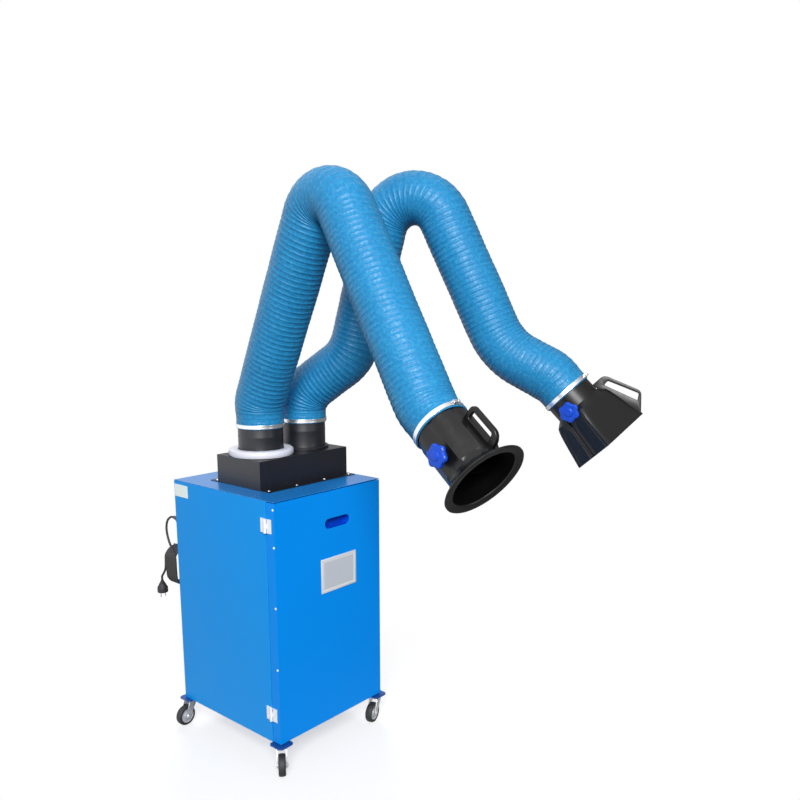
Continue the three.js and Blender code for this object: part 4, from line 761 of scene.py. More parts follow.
plate_rivets = [
    dome_head((x, FRONT - 0.0013, z), TO_FRONT, **PLATE_RIVET)
    for x in (PLATE_LOW[0] + RIVET_INSET, PLATE_HIGH[0] - RIVET_INSET)
    for z in (PLATE_LOW[1] + RIVET_INSET, PLATE_HIGH[1] - RIVET_INSET)
]
put(joined(*plate_rivets), "plate_rivets", "door", zinc, "zinc")
return_places = [(-CABINET_HALF, RETURN_RIVET_Y, z) for z in RETURN_RIVETS]
door_rivets = [dome_head(place, TO_LEFT, **RETURN_RIVET) for place in return_places]
put(joined(*door_rivets), "door_return_rivets", "door", zinc, "zinc")
put(block(LABEL_LOW, LABEL_HIGH, 0.0001, 1), "blank_label", "cabinet", blank_paper, "white_plastic")
print("rivets", len(plate_rivets) + len(door_rivets))

# %% [markdown]
# ## Hinges
# The hinges are small white butts on the left edge. The measured leaves are right, so they stay, with
# rounded edges, and each leaf gets the heads of its two screws.

# %% Hinges
LEAF_EDGE = 0.0005
HINGE_SCREW = {"radius": 0.0028, "height": 0.0009}
HINGE_SCREW_X = -0.2423
HINGE_SCREW_INSET = 0.006
HINGE_SCREW_SHARES = (0.22, 0.78)
for place in ("upper", "lower"):
    for side, body in (("frame", "cabinet"), ("door", "door")):
        leaf = f"{place}_hinge_{side}_leaf"
        dress(leaf, white_plastic, LEAF_EDGE)
        low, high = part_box(leaf)
        y = high[1] - HINGE_SCREW_INSET if side == "frame" else low[1] + HINGE_SCREW_INSET
        heights = [low[2] + share * (high[2] - low[2]) for share in HINGE_SCREW_SHARES]
        screws = [dome_head((HINGE_SCREW_X, y, z), TO_LEFT, **HINGE_SCREW) for z in heights]
        put(joined(*screws), f"{leaf}_screws", body, zinc, "zinc")
print("hinges dressed")

# %% [markdown]
# ## Casters
# Each caster hangs from a dark blue corner plate. A pressed fork turns under the plate and holds the
# axle, and a black tyre on a grey hub runs on it. The fork's cheeks are flat outlines given a thickness,
# and what is round is spun. One caster is built round its own swivel axis and set at the four corners,
# each at its own heading.

# %% Caster profiles
WHEEL_RADIUS = 0.036
TRAIL = 0.027
CROWN_TOP = 0.0926


def doubled(half):
    """A profile that is the same on both sides of the middle."""
    return half + [(r, -z) for r, z in reversed(half)]


TYRE_PROFILE = doubled(
    [(0.026, -0.0112), (0.0305, -0.012), (0.0335, -0.0112), (0.0352, -0.0088), (WHEEL_RADIUS, -0.005)]
)
HUB_PROFILE = doubled(
    [
        (0.0054, -0.013), (0.0115, -0.013), (0.0125, -0.012), (0.0135, -0.0075), (0.0235, -0.007),
        (0.0262, -0.0108),
    ]
)
AXLE_PROFILE = doubled([(0, -0.0205), (0.004, -0.0205), (0.005, -0.0195)])
CROWN_PROFILE = [
    (0, CROWN_TOP), (0.0205, CROWN_TOP), (0.0215, CROWN_TOP - 0.0012), (0.0215, CROWN_TOP - 0.005),
    (0.019, CROWN_TOP - 0.0075), (0.012, CROWN_TOP - 0.0085), (0, CROWN_TOP - 0.0085),
]
CHEEK = [
    (-0.019, 0.0855), (-0.0345, 0.045), (-0.0365, 0.037), (-0.0355, 0.0305), (-0.0315, 0.0268),
    (-0.026, 0.0262), (-0.0215, 0.0285), (-0.018, 0.0335), (0.0105, 0.0775), (0.013, 0.0855),
]
print("tyre corners", len(TYRE_PROFILE))

# %% Casters
CASTER_HEADINGS = {"front_left": -40, "front_right": -75, "rear_left": -85, "rear_right": -60}
CHEEK_PLACES = (-0.017, 0.014)
CHEEK_THICKNESS = 0.003
CHEEK_EDGE = 0.0009
NUT_RADIUS = 0.0078
NUT_HEIGHT = 0.0032
NUT_EDGE = 0.0006
NUT_PLACES = (0.0168, -0.02)
PLATE_EDGE = 0.001
# Stands a flat outline up: its X runs along the room's Y and its Y along Z
UPRIGHT = Matrix(((0, 0, 1, 0), (1, 0, 0, 0), (0, 1, 0, 0), (0, 0, 0, 1)))
ROLLING = shifted(0, -TRAIL, WHEEL_RADIUS) @ turned(90, "Y")


def plate(outline, thickness, edge):
    """A flat outline in XY given a thickness along Z."""
    bm = bmesh.new()
    face = bm.faces.new([bm.verts.new((x, y, 0)) for x, y in outline])
    pushed(bm, [face], (0, 0, thickness))
    soften(bm, edge, 2, math.radians(50))
    return bm


def hexagon(radius):
    return [(radius * math.cos(math.pi / 3 * k), radius * math.sin(math.pi / 3 * k)) for k in range(6)]


def caster_fork():
    cheeks = [
        moved(plate(CHEEK, CHEEK_THICKNESS, CHEEK_EDGE), shifted(x, 0, 0) @ UPRIGHT) for x in CHEEK_PLACES
    ]
    axle = moved(spun(AXLE_PROFILE, 24), ROLLING)
    nuts = [plate(hexagon(NUT_RADIUS), NUT_HEIGHT, NUT_EDGE) for _ in NUT_PLACES]
    nuts = [moved(nut, ROLLING @ shifted(0, 0, z)) for nut, z in zip(nuts, NUT_PLACES)]
    return joined(spun(CROWN_PROFILE, 40), *cheeks, axle, *nuts)


for corner, heading in CASTER_HEADINGS.items():
    swivel = joints["swivel_" + corner]["pos_m"]
    stand = shifted(swivel[0], swivel[1], 0) @ turned(heading, "Z")
    fork = moved(caster_fork(), stand)
    tyre = moved(spun(TYRE_PROFILE, 64), stand @ ROLLING)
    hub = moved(spun(HUB_PROFILE, 64), stand @ ROLLING)
    dress("caster_plate_" + corner, dark_blue_paint, PLATE_EDGE)
    put(fork, "fork_" + corner, "caster_" + corner, zinc, "zinc", ("caster_fork_" + corner,))
    put(tyre, "tyre_" + corner, "wheel_" + corner, rubber, "rubber", ("caster_wheel_" + corner,))
    put(hub, "hub_" + corner, "wheel_" + corner, hub_grey, "zinc")
print("casters", list(CASTER_HEADINGS))

# %% [markdown]
# ## Plenum box, slip rings and collars
# The black box gathers the air of both arms. A ring holds each collar down and lets it turn, white under
# the left arm and black under the right one. The rings and collars are turned parts, so they are spun.

# %% Plenum box
SMALL_EDGE = 0.0006
FLANGE_TOP = 0.9153
PLENUM_SCREW = {"radius": 0.0052, "height": 0.0028}
PLENUM_SCREW_X = (-0.15, -0.03, 0.097, 0.216)
PLENUM_SCREW_Y = (-0.137, 0.137)
dress("plenum_box", black_paint, SMALL_EDGE)
screw_places = [(x, y, FLANGE_TOP) for x in PLENUM_SCREW_X for y in PLENUM_SCREW_Y]
screws = [dome_head(place, UP, **PLENUM_SCREW) for place in screw_places]
put(joined(*screws), "plenum_screws", "cabinet", zinc, "zinc")
print("plenum screws", len(screws))

# %% Rings and collars
PLENUM_TOP = 1.01
COLLAR_X = {"left": -0.065, "right": 0.131}
COLLAR_STEPS = 96
RING_PROFILES = {
    "left": [
        (0.0826, 0.0003), (0.1045, 0.0003), (0.1075, 0.002), (0.1092, 0.006), (0.1098, 0.011),
        (0.1092, 0.016), (0.1075, 0.0202), (0.104, 0.0232), (0.099, 0.0245), (0.0825, 0.0245),
        (0.0795, 0.0235), (0.0778, 0.021), (0.0778, 0.0046), (0.0826, 0.0046),
    ],
    "right": [
        (0.0826, 0.0003), (0.0862, 0.0003), (0.087, 0.001), (0.087, 0.0075), (0.0855, 0.009), (0.079, 0.009),
        (0.0778, 0.008), (0.0778, 0.0046), (0.0826, 0.0046),
    ],
}
COLLAR_PROFILE = [
    (0.074, 0.0003), (0.081, 0.0003), (0.081, 0.0043), (0.0765, 0.0043), (0.076, 0.006), (0.076, 0.062),
    (0.0766, 0.0645), (0.0766, 0.0675), (0.076, 0.07), (0.076, 0.132), (0.075, 0.133), (0.074, 0.132),
]
RING_FINISH = {"left": (ring_white, "white_plastic"), "right": (black_paint, "black_paint")}
for arm, x in COLLAR_X.items():
    stand = shifted(x, 0, PLENUM_TOP)
    ring = moved(spun(RING_PROFILES[arm], COLLAR_STEPS), stand)
    put(ring, arm + "_ring", "cabinet", *RING_FINISH[arm], (arm + "_slip_ring",))
    pipe = moved(spun(COLLAR_PROFILE, COLLAR_STEPS), stand)
    put(pipe, arm + "_pipe", arm + "_turntable", black_paint, "black_paint", (arm + "_collar",))
print("collars at", COLLAR_X)

# %% [markdown]
# ## How the arms stand
# Each arm lies in an upright plane through its collar, so a route in that plane needs only two numbers
# for a place. Reach is measured outwards in the plane and height from the plenum's top, and angles count
# from upright. The wrists' places come from the measured joints.

# %% Arm frames
COLLAR_HEIGHT = 0.133
HOSE_OVERLAP = 0.04
NECK_START = 0.032
LINK_LENGTH = 0.75
SHOULDER = Vector((0.03, 0.198))
ARMS = {
    "left": {"turn": -7, "lower": 29.5, "forearm": 146.2, "hood": 127.2, "roll": -4},
    "right": {"turn": 20, "lower": 30, "forearm": 139.7, "hood": 135.7, "roll": 10},
}


def step(at, length, angle):
    """The place a length away in the arm's plane, at an angle from upright."""
    return at + length * Vector((math.sin(math.radians(angle)), math.cos(math.radians(angle))))


def arm_plane(arm):
    """A matrix from (lateral, outward turned to -Y, height) to the room."""
    return shifted(COLLAR_X[arm], 0, PLENUM_TOP) @ turned(ARMS[arm]["turn"], "Z")


def hood_frame(arm, rolled=True):
    """The hood's own frame: Z along its axis towards the mouth, Y towards the handle."""
    pose = ARMS[arm]
    roll = pose["roll"] if rolled else 0
    tilt = turned(pose["turn"], "Z") @ turned(pose["hood"], "X")
    return shifted(*joints[arm + "_wrist"]["pos_m"]) @ tilt @ turned(roll, "Z")


for arm in ARMS:
    print(arm, "wrist", [round(v, 4) for v in joints[arm + "_wrist"]["pos_m"]])

# %% [markdown]
# ## The hoses
# A hose could be a curve with a round bevel, but then it would have no ribs. Instead a grid is rolled
# into a tube along the arm's route. Its rows follow the route's bends, and each point then moves out or
# in with the wire spiral and with a little seeded noise for the slack of the cloth. The hose crosses
# three joints, so it is made in three lengths, one round each joint.

# %% Hose route
HOSE_RUNS = {
    "left": {"foot": 0.044, "elbow": (0.055, 0.1006), "swing": None, "sag": None},
    "right": {"foot": 0.059, "elbow": (0.2187, 0.1177), "swing": (0.197, 0.077), "sag": (0.578, 0.0715)},
}
FOOT_BEND = 0.11
SWING_BEND = 0.16
SAG_BEND = 0.22
WRIST_BEND = 0.16
ARC_STEP = 0.004
HEADING_STEP = 0.006


def hose_corners(arm):
    """The corners of the hose's route, the radius at each, and the elbow and wrist."""
    pose, run = ARMS[arm], HOSE_RUNS[arm]
    elbow = step(SHOULDER, LINK_LENGTH, pose["lower"])
    wrist = step(elbow, LINK_LENGTH, pose["forearm"])
    corners = [Vector((0, COLLAR_HEIGHT - HOSE_OVERLAP)), Vector((0, COLLAR_HEIGHT + run["foot"]))]
    radii = [FOOT_BEND]
    if run["swing"]:
        along, out = run["swing"]
        corners.append(step(step(SHOULDER, along, pose["lower"]), out, pose["lower"] + 90))
        radii.append(SWING_BEND)
    rise, radius = run["elbow"]
    corners.append(step(elbow, rise, (pose["lower"] + pose["forearm"] - 180) / 2))
    radii.append(radius)
    if run["sag"]:
        along, down = run["sag"]
        corners.append(step(step(elbow, along, pose["forearm"]), down, pose["forearm"] + 90))
        radii.append(SAG_BEND)
    corners += [wrist, step(wrist, NECK_START + HOSE_OVERLAP, pose["hood"])]
    radii.append(WRIST_BEND)
    return corners, radii, elbow, wrist


def rounded_route(corners, radii):
    """Points on straight runs joined by arcs, and the length walked up to each point."""
    line = [corners[0]]
    for before, corner, after, radius in zip(corners, corners[1:], corners[2:], radii):
        a, b = (corner - before).normalized(), (after - corner).normalized()
        turn = math.atan2(a.x * b.y - a.y * b.x, a.dot(b))
        start = corner - a * (radius * math.tan(abs(turn) / 2))
        centre = start + Vector((-a.y, a.x)) * math.copysign(1, turn) * radius
        spoke = start - centre
        count = max(4, int(abs(turn) * radius / ARC_STEP))
        for k in range(count + 1):
            c, s = math.cos(turn * k / count), math.sin(turn * k / count)
            line.append(centre + Vector((spoke.x * c - spoke.y * s, spoke.x * s + spoke.y * c)))
    line.append(corners[-1])
    lengths = [0]
    for a, b in zip(line, line[1:]):
        lengths.append(lengths[-1] + (b - a).length)
    return line, lengths


def route_at(line, lengths, length):
    """The place at a length along the route."""
    length = min(max(length, 0), lengths[-1])
    low = min(bisect.bisect_right(lengths, length) - 1, len(lengths) - 2)
    span = max(lengths[low + 1] - lengths[low], 1e-9)
    return line[low].lerp(line[low + 1], (length - lengths[low]) / span)


def heading_at(line, lengths, length):
    ahead = route_at(line, lengths, length + HEADING_STEP)
    return (ahead - route_at(line, lengths, length - HEADING_STEP)).normalized()


ROUTES = {arm: rounded_route(*hose_corners(arm)[:2]) for arm in ARMS}
print("route points", {arm: len(line) for arm, (line, _) in ROUTES.items()})

# %% Hose surface
HOSE_RADIUS = 0.0843
RIB_DEPTH = 0.001
SLACK_DEPTH = 0.0011
SWAY_DEPTH = 0.0012
CUFF_RADIUS = 0.0798
CUFF_TAPER = 0.05
CUFF_FOLD = 0.0004
CUFF_LIP = 0.0006
BORE_RADIUS = 0.0775
# How fast the noise of the cloth changes round the hose and along it
SLACK_CELLS = (3, 55)
SWAY_CELLS = (1.3, 9)
SEAM_DISTANCE = 1e-5
AROUND = 56
ROWS_PER_RIB = 7


def ease(value, low, high):
    t = min(max((value - low) / (high - low), 0), 1)
    return t * t * (3 - 2 * t)


def cloth_noise(length, turn, seed, around, along):
    angle = 2 * math.pi * turn
    return noise.noise(Vector((around * math.cos(angle), around * math.sin(angle), length * along + seed)))


def hose_radius(length, total, turn, seed):
    """The hose's radius at a place: a plain cuff at each end, and the wire spiral between them."""
    inside = min(length, total - length)
    swell = ease(inside, HOSE_OVERLAP * 0.8, HOSE_OVERLAP + CUFF_TAPER)
    ribs = ease(inside, HOSE_OVERLAP * 0.9, HOSE_OVERLAP + 0.012)
    wave = 0.5 + 0.5 * math.cos(2 * math.pi * (length / RIB_PITCH + turn))
    slack = cloth_noise(length, turn, seed, *SLACK_CELLS)
    sway = cloth_noise(length, turn, seed, *SWAY_CELLS)
    relief = RIB_DEPTH * (wave ** 3 - 0.3) + SLACK_DEPTH * slack * (1.2 - wave) + SWAY_DEPTH * sway
    return CUFF_RADIUS + (HOSE_RADIUS - CUFF_RADIUS) * swell + ribs * relief


def hose_length(arm, name, start, end, seed):
    """One length of hose: a grid rolled round the route, with its cuff folded in at the hose's own ends."""
    line, lengths = ROUTES[arm]
    total = lengths[-1]
    rows = max(8, int((end - start) / RIB_PITCH * ROWS_PER_RIB))
    bm = bmesh.new()
    uv = bm.loops.layers.uv.new("hose_map")
    bmesh.ops.create_grid(bm, x_segments=AROUND, y_segments=rows, size=1, calc_uvs=True)
    plane = arm_plane(arm)
    first, last = start < 1e-6, end > total - 1e-6
    spots = {}
    for vert in bm.verts:
        turn, share = (vert.co.x + 1) / 2, (vert.co.y + 1) / 2
        length = start + (end - start) * share
        row = round(share * rows)
        radius = hose_radius(length, total, turn, seed)
        if (first and row == 0) or (last and row == rows):
            radius = BORE_RADIUS
        elif (first and row == 1) or (last and row == rows - 1):
            length = CUFF_FOLD if first and row == 1 else total - CUFF_FOLD
            radius = CUFF_RADIUS - CUFF_LIP
        at, along = route_at(line, lengths, length), heading_at(line, lengths, length)
        angle = 2 * math.pi * turn
        rise = radius * math.sin(angle)
        spots[vert] = (turn, length)
        vert.co = plane @ Vector((radius * math.cos(angle), -(at.x - along.y * rise), at.y + along.x * rise))
    for face in bm.faces:
        for loop in face.loops:
            loop[uv].uv = spots[loop.vert]
    bmesh.ops.remove_doubles(bm, verts=bm.verts, dist=SEAM_DISTANCE)
    piece = mesh_object(bm, name, hose_cloth, sharp=None)
    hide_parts(arm + "_hose")
    return piece


print("hose ribs", {arm: int(lengths[-1] / RIB_PITCH) for arm, (_, lengths) in ROUTES.items()})

# %% Hose lengths and their bends
# Where the hose is cut, as shares of the way to the elbow and of the way from there to the hood
LOW_CUT_SHARE = 0.44
HIGH_CUT_SHARE = 0.55
HOSE_SEED = 7.0
SHOULDER_BEND = (0.008, 0.14)
ELBOW_BEND = (Vector((0.107, 0)), Vector((0.125, 0)))
HOOD_BEND = (0.13, 0.022)
for number, arm in enumerate(ARMS):
    pose = ARMS[arm]
    _, _, elbow, wrist = hose_corners(arm)
    line, lengths = ROUTES[arm]
    total = lengths[-1]
    to_elbow = lengths[min(range(len(line)), key=lambda i: (line[i] - elbow).length)]
    low_cut = round(to_elbow * LOW_CUT_SHARE / RIB_PITCH) * RIB_PITCH
    high_cut = round((to_elbow + (total - to_elbow) * HIGH_CUT_SHARE) / RIB_PITCH) * RIB_PITCH
    foot = Vector((0, COLLAR_HEIGHT + SHOULDER_BEND[0]))
    above = step(SHOULDER, SHOULDER_BEND[1], pose["lower"])
    inside, outside = elbow - ELBOW_BEND[0], elbow + ELBOW_BEND[1]
    before, after = step(wrist, -HOOD_BEND[0], pose["forearm"]), step(wrist, HOOD_BEND[1], pose["hood"])
    for name, start, end, near, far, begin, done in (
        ("_hose_root", 0, low_cut, "_turntable", "_lower_arm", foot, above),
        ("_hose_bend", low_cut, high_cut, "_lower_arm", "_forearm", inside, outside),
        ("_hose_tip", high_cut, total, "_forearm", "_hood", before, after),
    ):
        piece = hose_length(arm, arm + name, start, end, HOSE_SEED * number)
        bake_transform(piece)
    print(arm, "hose length", round(total, 3), "cuts", round(low_cut, 3), round(high_cut, 3))

# %% [markdown]
# ## Hose clamps
# A plated band holds each cuff. It is a thin spun ring with rolled edges, and a small housing carries the
# worm screw. The clamp is built once round its own axis and set on both ends of both hoses.

# %% Clamps
BAND_RADIUS = 0.0817
BAND_LIP = BAND_RADIUS + 0.0003
BAND_INNER = BAND_RADIUS - 0.0015
BAND_WIDTH = 0.013
BAND_INSET = 0.003
BAND_PROFILE = [
    (BAND_INNER, 0.0), (BAND_RADIUS, 0.0004), (BAND_LIP, 0.0016), (BAND_RADIUS, 0.003), (BAND_RADIUS, 0.01),
    (BAND_LIP, 0.0114), (BAND_RADIUS, 0.0126), (BAND_INNER, 0.013),
]
WORM_PROFILE = [(0, -0.013), (0.0034, -0.013), (0.0038, -0.012), (0.0038, 0.011), (0, 0.011)]
WORM_HEAD = 0.0058
WORM_SEAT = (0, BAND_RADIUS + 0.0036, 0.0065)
HOUSING_LOW = (-0.008, BAND_RADIUS - 0.0008, 0.001)
HOUSING_HIGH = (0.008, BAND_RADIUS + 0.0075, 0.012)


def clamp():
    """A band with its housing and worm screw, round Z."""
    housing = block(HOUSING_LOW, HOUSING_HIGH, 0.0016, 3)
    across = shifted(*WORM_SEAT) @ turned(90, "Y")
    worm = moved(spun(WORM_PROFILE, 20), across)
    head = moved(plate(hexagon(WORM_HEAD), 0.0045, 0.0006), across @ shifted(0, 0, 0.0105))
    return joined(spun(BAND_PROFILE, COLLAR_STEPS), housing, worm, head)


for arm in ARMS:
    low = arm_plane(arm) @ shifted(0, 0, COLLAR_HEIGHT - HOSE_OVERLAP + BAND_INSET)
    put(moved(clamp(), low), arm + "_low_band", arm + "_turntable", zinc, "zinc", (arm + "_base_clamp",))
    high = hood_frame(arm, False) @ shifted(0, 0, NECK_START + HOSE_OVERLAP - BAND_INSET - BAND_WIDTH)
    put(moved(clamp(), high), arm + "_hood_band", arm + "_hood", zinc, "zinc", (arm + "_hood_clamp",))
print("clamps made")

# %% [markdown]
# ## The round hood
# The left hood is a moulded pipe that flares into a broad rolled rim. It is spun as one wall with its own
# thickness, and its barrel is then pressed into long flat panels. A thin near-black skin inside it is a
# painted shade, which makes the inside dark. A grip stands on it like a fin with a finger slot, and a boss
# on each side carries the damper's spindle.

# %% Round shell and shade lining
PIPE = 0.076
WALL = 0.003
ROUND_LENGTH = 0.263
RIM = 0.12
MOUTH = 0.096
FLARE = 0.044
FLARE_START = ROUND_LENGTH - FLARE
FLARE_TOP = ROUND_LENGTH - 0.007
FLARE_LEDGE = 0.003
FLARE_POWER = 2.1
FLARE_STEPS = 9
CUFF_END = NECK_START + HOSE_OVERLAP
BARREL_PANELS = 8
PANEL_SINK = 0.0008


def flare(start, end):
    """The profile of a flare between two radii."""
    shares = [k / FLARE_STEPS for k in range(FLARE_STEPS + 1)]
    rise = FLARE_TOP - FLARE_START
    return [(start + (end - start) * k ** FLARE_POWER, FLARE_START + rise * k) for k in shares]


def throat(clear):
    """The inner wall's profile from the lip back to the neck, moved in by a clearance."""
    wall = flare(PIPE - WALL, MOUTH - 0.001)[::-1] + [(PIPE - WALL, NECK_START)]
    return [(radius - clear, height) for radius, height in wall]


def flattened(bm):
    """Presses the barrel's outside into long flat panels between the cuff and the flare."""
    panel = 2 * math.pi / BARREL_PANELS
    for vert in bm.verts:
        radius = math.hypot(vert.co.x, vert.co.y)
        if radius > PIPE - 0.0005 and vert.co.z < FLARE_START - 0.006:
            turn = (math.atan2(vert.co.y, vert.co.x) + panel / 2) % panel - panel / 2
            flat = (PIPE - PANEL_SINK) / math.cos(turn)
            scale = 1 + (flat / PIPE - 1) * ease(vert.co.z, CUFF_END + 0.004, CUFF_END + 0.01)
            vert.co.x *= scale
            vert.co.y *= scale
    return bm


def round_shell():
    outer = [(PIPE, NECK_START)] + [(PIPE, CUFF_END + rise) for rise in (0.003, 0.007, 0.011)]
    outer += [(PIPE, FLARE_START - 0.008), (PIPE + 0.0028, FLARE_START - 0.007)]
    outer += flare(PIPE + FLARE_LEDGE, RIM - 0.002)
    rim = [(RIM, ROUND_LENGTH - 0.005), (RIM, ROUND_LENGTH - 0.002)]
    rim += [(RIM - 0.002, ROUND_LENGTH), (RIM - 0.005, ROUND_LENGTH)]
    lip = [(MOUTH + 0.001, ROUND_LENGTH - 0.0035), (MOUTH, ROUND_LENGTH - 0.0045)]
    return flattened(spun(outer + rim + lip + throat(0), BARREL_PANELS * 16))


# A thin near-black skin inside the throat: painted shade.
shade_lining = spun(throat(0.0002) + throat(0.0006)[::-1], COLLAR_STEPS)
print("round shell corners", len(throat(0)))

# %% Grips and bosses
GRIP_THICKNESS = 0.014
GRIP_BAR = 0.013
GRIP_EDGE = 0.0026
BOSS_PROFILE = [(0.0056, -0.006), (0.0165, -0.006), (0.0155, 0.004), (0.0145, 0.0052), (0.0056, 0.0052)]


def rounded(points, radii, steps=5):
    """A closed outline with some of its corners rounded off."""
    result = []
    for k, (at, radius) in enumerate(zip(points, radii)):
        here, before, after = (Vector(p) for p in (at, points[k - 1], points[(k + 1) % len(points)]))
        if not radius:
            result.append(tuple(here))
            continue
        a, b = here + (before - here).normalized() * radius, here + (after - here).normalized() * radius
        for i in range(steps + 1):
            t = i / steps
            result.append(tuple(a * (1 - t) ** 2 + here * 2 * t * (1 - t) + b * t * t))
    return result


def fin(outer, slot):
    """A flat fin in the YZ plane with a slot through it and soft edges."""
    bm = bmesh.new()
    loops = [[bm.verts.new((0, y, z)) for y, z in points] for points in (outer, slot)]
    edges = [bm.edges.new((a, b)) for loop in loops for a, b in zip(loop, loop[1:] + loop[:1])]
    bmesh.ops.triangle_fill(bm, use_beauty=True, edges=edges)
    pushed(bm, list(bm.faces), (GRIP_THICKNESS, 0, 0))
    bmesh.ops.translate(bm, vec=(-GRIP_THICKNESS / 2, 0, 0), verts=bm.verts)
    bmesh.ops.recalc_face_normals(bm, faces=bm.faces)
    soften(bm, GRIP_EDGE, 3, math.radians(60))
    return bm


def straight_grip(stand, height, length):
    """A fin with a finger slot, standing on +Y and running along Z."""
    bar, far, near = GRIP_BAR, stand + height, stand + 0.011
    top = stand + height * 0.55
    outer = [(stand, 0), (far, 0), (far, length - bar * 1.1), (top, length), (stand, length)]
    slot = [(near, bar), (far - bar, bar), (far - bar, length - bar * 1.9), (near, length - bar * 1.5)]
    return fin(rounded(outer, [0, 0.016, 0.014, 0.008, 0]), rounded(slot, [0.005] * 4))


def spindle_bosses(height):
    """A boss on each side of a hood for the damper's spindle."""
    return [
        moved(spun(BOSS_PROFILE, 36), turned_to((side, 0, 0), (side * PIPE, 0, height))) for side in (-1, 1)
    ]


print("grip bar", GRIP_BAR)

# %% Round hood
GRIP_LENGTH = 0.118
GRIP_HEIGHT = 0.046
ROUND_DAMPER = CUFF_END + 0.093
round_grip = straight_grip(PIPE - 0.003, GRIP_HEIGHT, GRIP_LENGTH)
round_grip = moved(round_grip, shifted(0, 0, FLARE_START - GRIP_LENGTH + 0.008))
round_hood = moved(joined(round_shell(), round_grip, *spindle_bosses(ROUND_DAMPER)), hood_frame("left"))
put(round_hood, "round_hood", "left_hood", black_plastic, "black_plastic", ("left_hood",))
put(moved(shade_lining, hood_frame("left")), "round_hood_shade_lining", "left_hood", hood_inside_painted_shade, "black_plastic")
print("round hood made")

# %% [markdown]
# ## The square hood
# The right hood starts as a round neck and grows into a square mouth with crisp edges. A spin can't make
# that, so a grid is rolled round the axis, out along the outer wall and back along the inner one, and
# each row lies between a circle and a square. Two opposite sides are fluted round a middle ridge. The
# grip stands on a corner edge and leans out to the mouth.

# %% Square shell and shade lining
SQUARE_LENGTH = 0.27
SQUARE_START = NECK_START + 0.086
SQUARE_RUN = SQUARE_LENGTH - SQUARE_START
MOUTH_WIDTH = 0.193
MOUTH_DEPTH = 0.179
SQUARE_SIDES = 128
SQUARE_STEPS = 16
SQUARE_GROWTH = 0.8
FLUTE_DEPTH = 0.009


def squared(turn, share, inset, fluted):
    """A point of a ring between a circle and a square with small corners."""
    angle = 2 * math.pi * turn
    c, s = math.cos(angle), math.sin(angle)
    power = 2 + 34 * share ** SQUARE_GROWTH
    reach = (abs(c) ** power + abs(s) ** power) ** (-1 / power)
    half_width = PIPE + (MOUTH_WIDTH / 2 - PIPE) * share - inset
    half_depth = PIPE + (MOUTH_DEPTH / 2 - PIPE) * share - inset
    x, y = half_width * c * reach, half_depth * s * reach
    if fluted and abs(c) > abs(s):
        across = min(abs(y) / half_depth, 1)
        x -= math.copysign(FLUTE_DEPTH * math.sin(math.pi * across) ** 2 * ease(share, 0.02, 0.35), c)
    return x, y


def inner_rows(inset):
    """Rows of (share of the flare, height, inset, fluted) along the inner wall, from mouth to neck."""
    shares = [k / SQUARE_STEPS for k in range(SQUARE_STEPS, -1, -1)]
    run = SQUARE_RUN - 0.001
    flared = [(share, SQUARE_START + run * share ** SQUARE_GROWTH, inset, False) for share in shares]
    return flared + [(0, NECK_START, inset, False)]


def shell_rows():
    """Rows out along the outer wall and back inside."""
    neck = [(0, height, 0, False) for height in (NECK_START, SQUARE_START - 0.012, SQUARE_START - 0.004)]
    shares = [k / SQUARE_STEPS for k in range(SQUARE_STEPS + 1)]
    run = SQUARE_RUN - 0.004
    flared = [(share, SQUARE_START + run * share ** SQUARE_GROWTH, 0, True) for share in shares]
    rim = [(1, SQUARE_LENGTH - 0.001, 0, False), (1, SQUARE_LENGTH, 0.001, False)]
    return neck + flared + rim + inner_rows(WALL) + neck[:1]


def shade_lining_rows():
    """A thin skin of painted shade just inside the inner wall."""
    skin = inner_rows(WALL + 0.0002)
    return skin + inner_rows(WALL + 0.0006)[::-1] + skin[:1]


def square_skin(rows):
    """A grid rolled into a closed skin, with one ring for each row."""
    bm = bmesh.new()
    count = len(rows) - 1
    bmesh.ops.create_grid(bm, x_segments=SQUARE_SIDES, y_segments=count, size=1)
    for vert in bm.verts:
        turn = (vert.co.x + 1) / 2
        share, height, inset, fluted = rows[round((vert.co.y + 1) / 2 * count)]
        vert.co = Vector((*squared(turn, share, inset, fluted), height))
    bmesh.ops.remove_doubles(bm, verts=bm.verts, dist=WELD_DISTANCE)
    return bm


print("square rows", len(shell_rows()), len(shade_lining_rows()))

# %% Ridges and corner grip
RIDGE_HALF = 0.0045
LEAN_LOW = 0.1
LEAN_HIGH = SQUARE_LENGTH - 0.006
LEAN_TOP = LEAN_HIGH - 0.05
LEAN_STAND = PIPE + 0.045
LEAN_SLOPE = 0.45
SLOT_WIDTH = 0.017


def lean_reach(z):
    """How far the leaning grip reaches out from the hood's axis."""
    return LEAN_STAND + LEAN_SLOPE * (z - LEAN_LOW)


def side_ridges():
    """One rounded ridge down the middle of each fluted side."""
    lean = math.atan2(MOUTH_WIDTH / 2 - PIPE, SQUARE_RUN)
    ridges = []
    for side in (-1, 1):
        bar = block((-0.005, -RIDGE_HALF, -SQUARE_RUN * 0.9), (RIDGE_HALF, RIDGE_HALF, 0), 0.0022, 3)
        seat = shifted(side * (MOUTH_WIDTH / 2 - 0.001), 0, SQUARE_LENGTH - 0.003)
        ridges.append(moved(bar, seat @ Matrix.Rotation(side * lean, 4, "Y")))
    return ridges


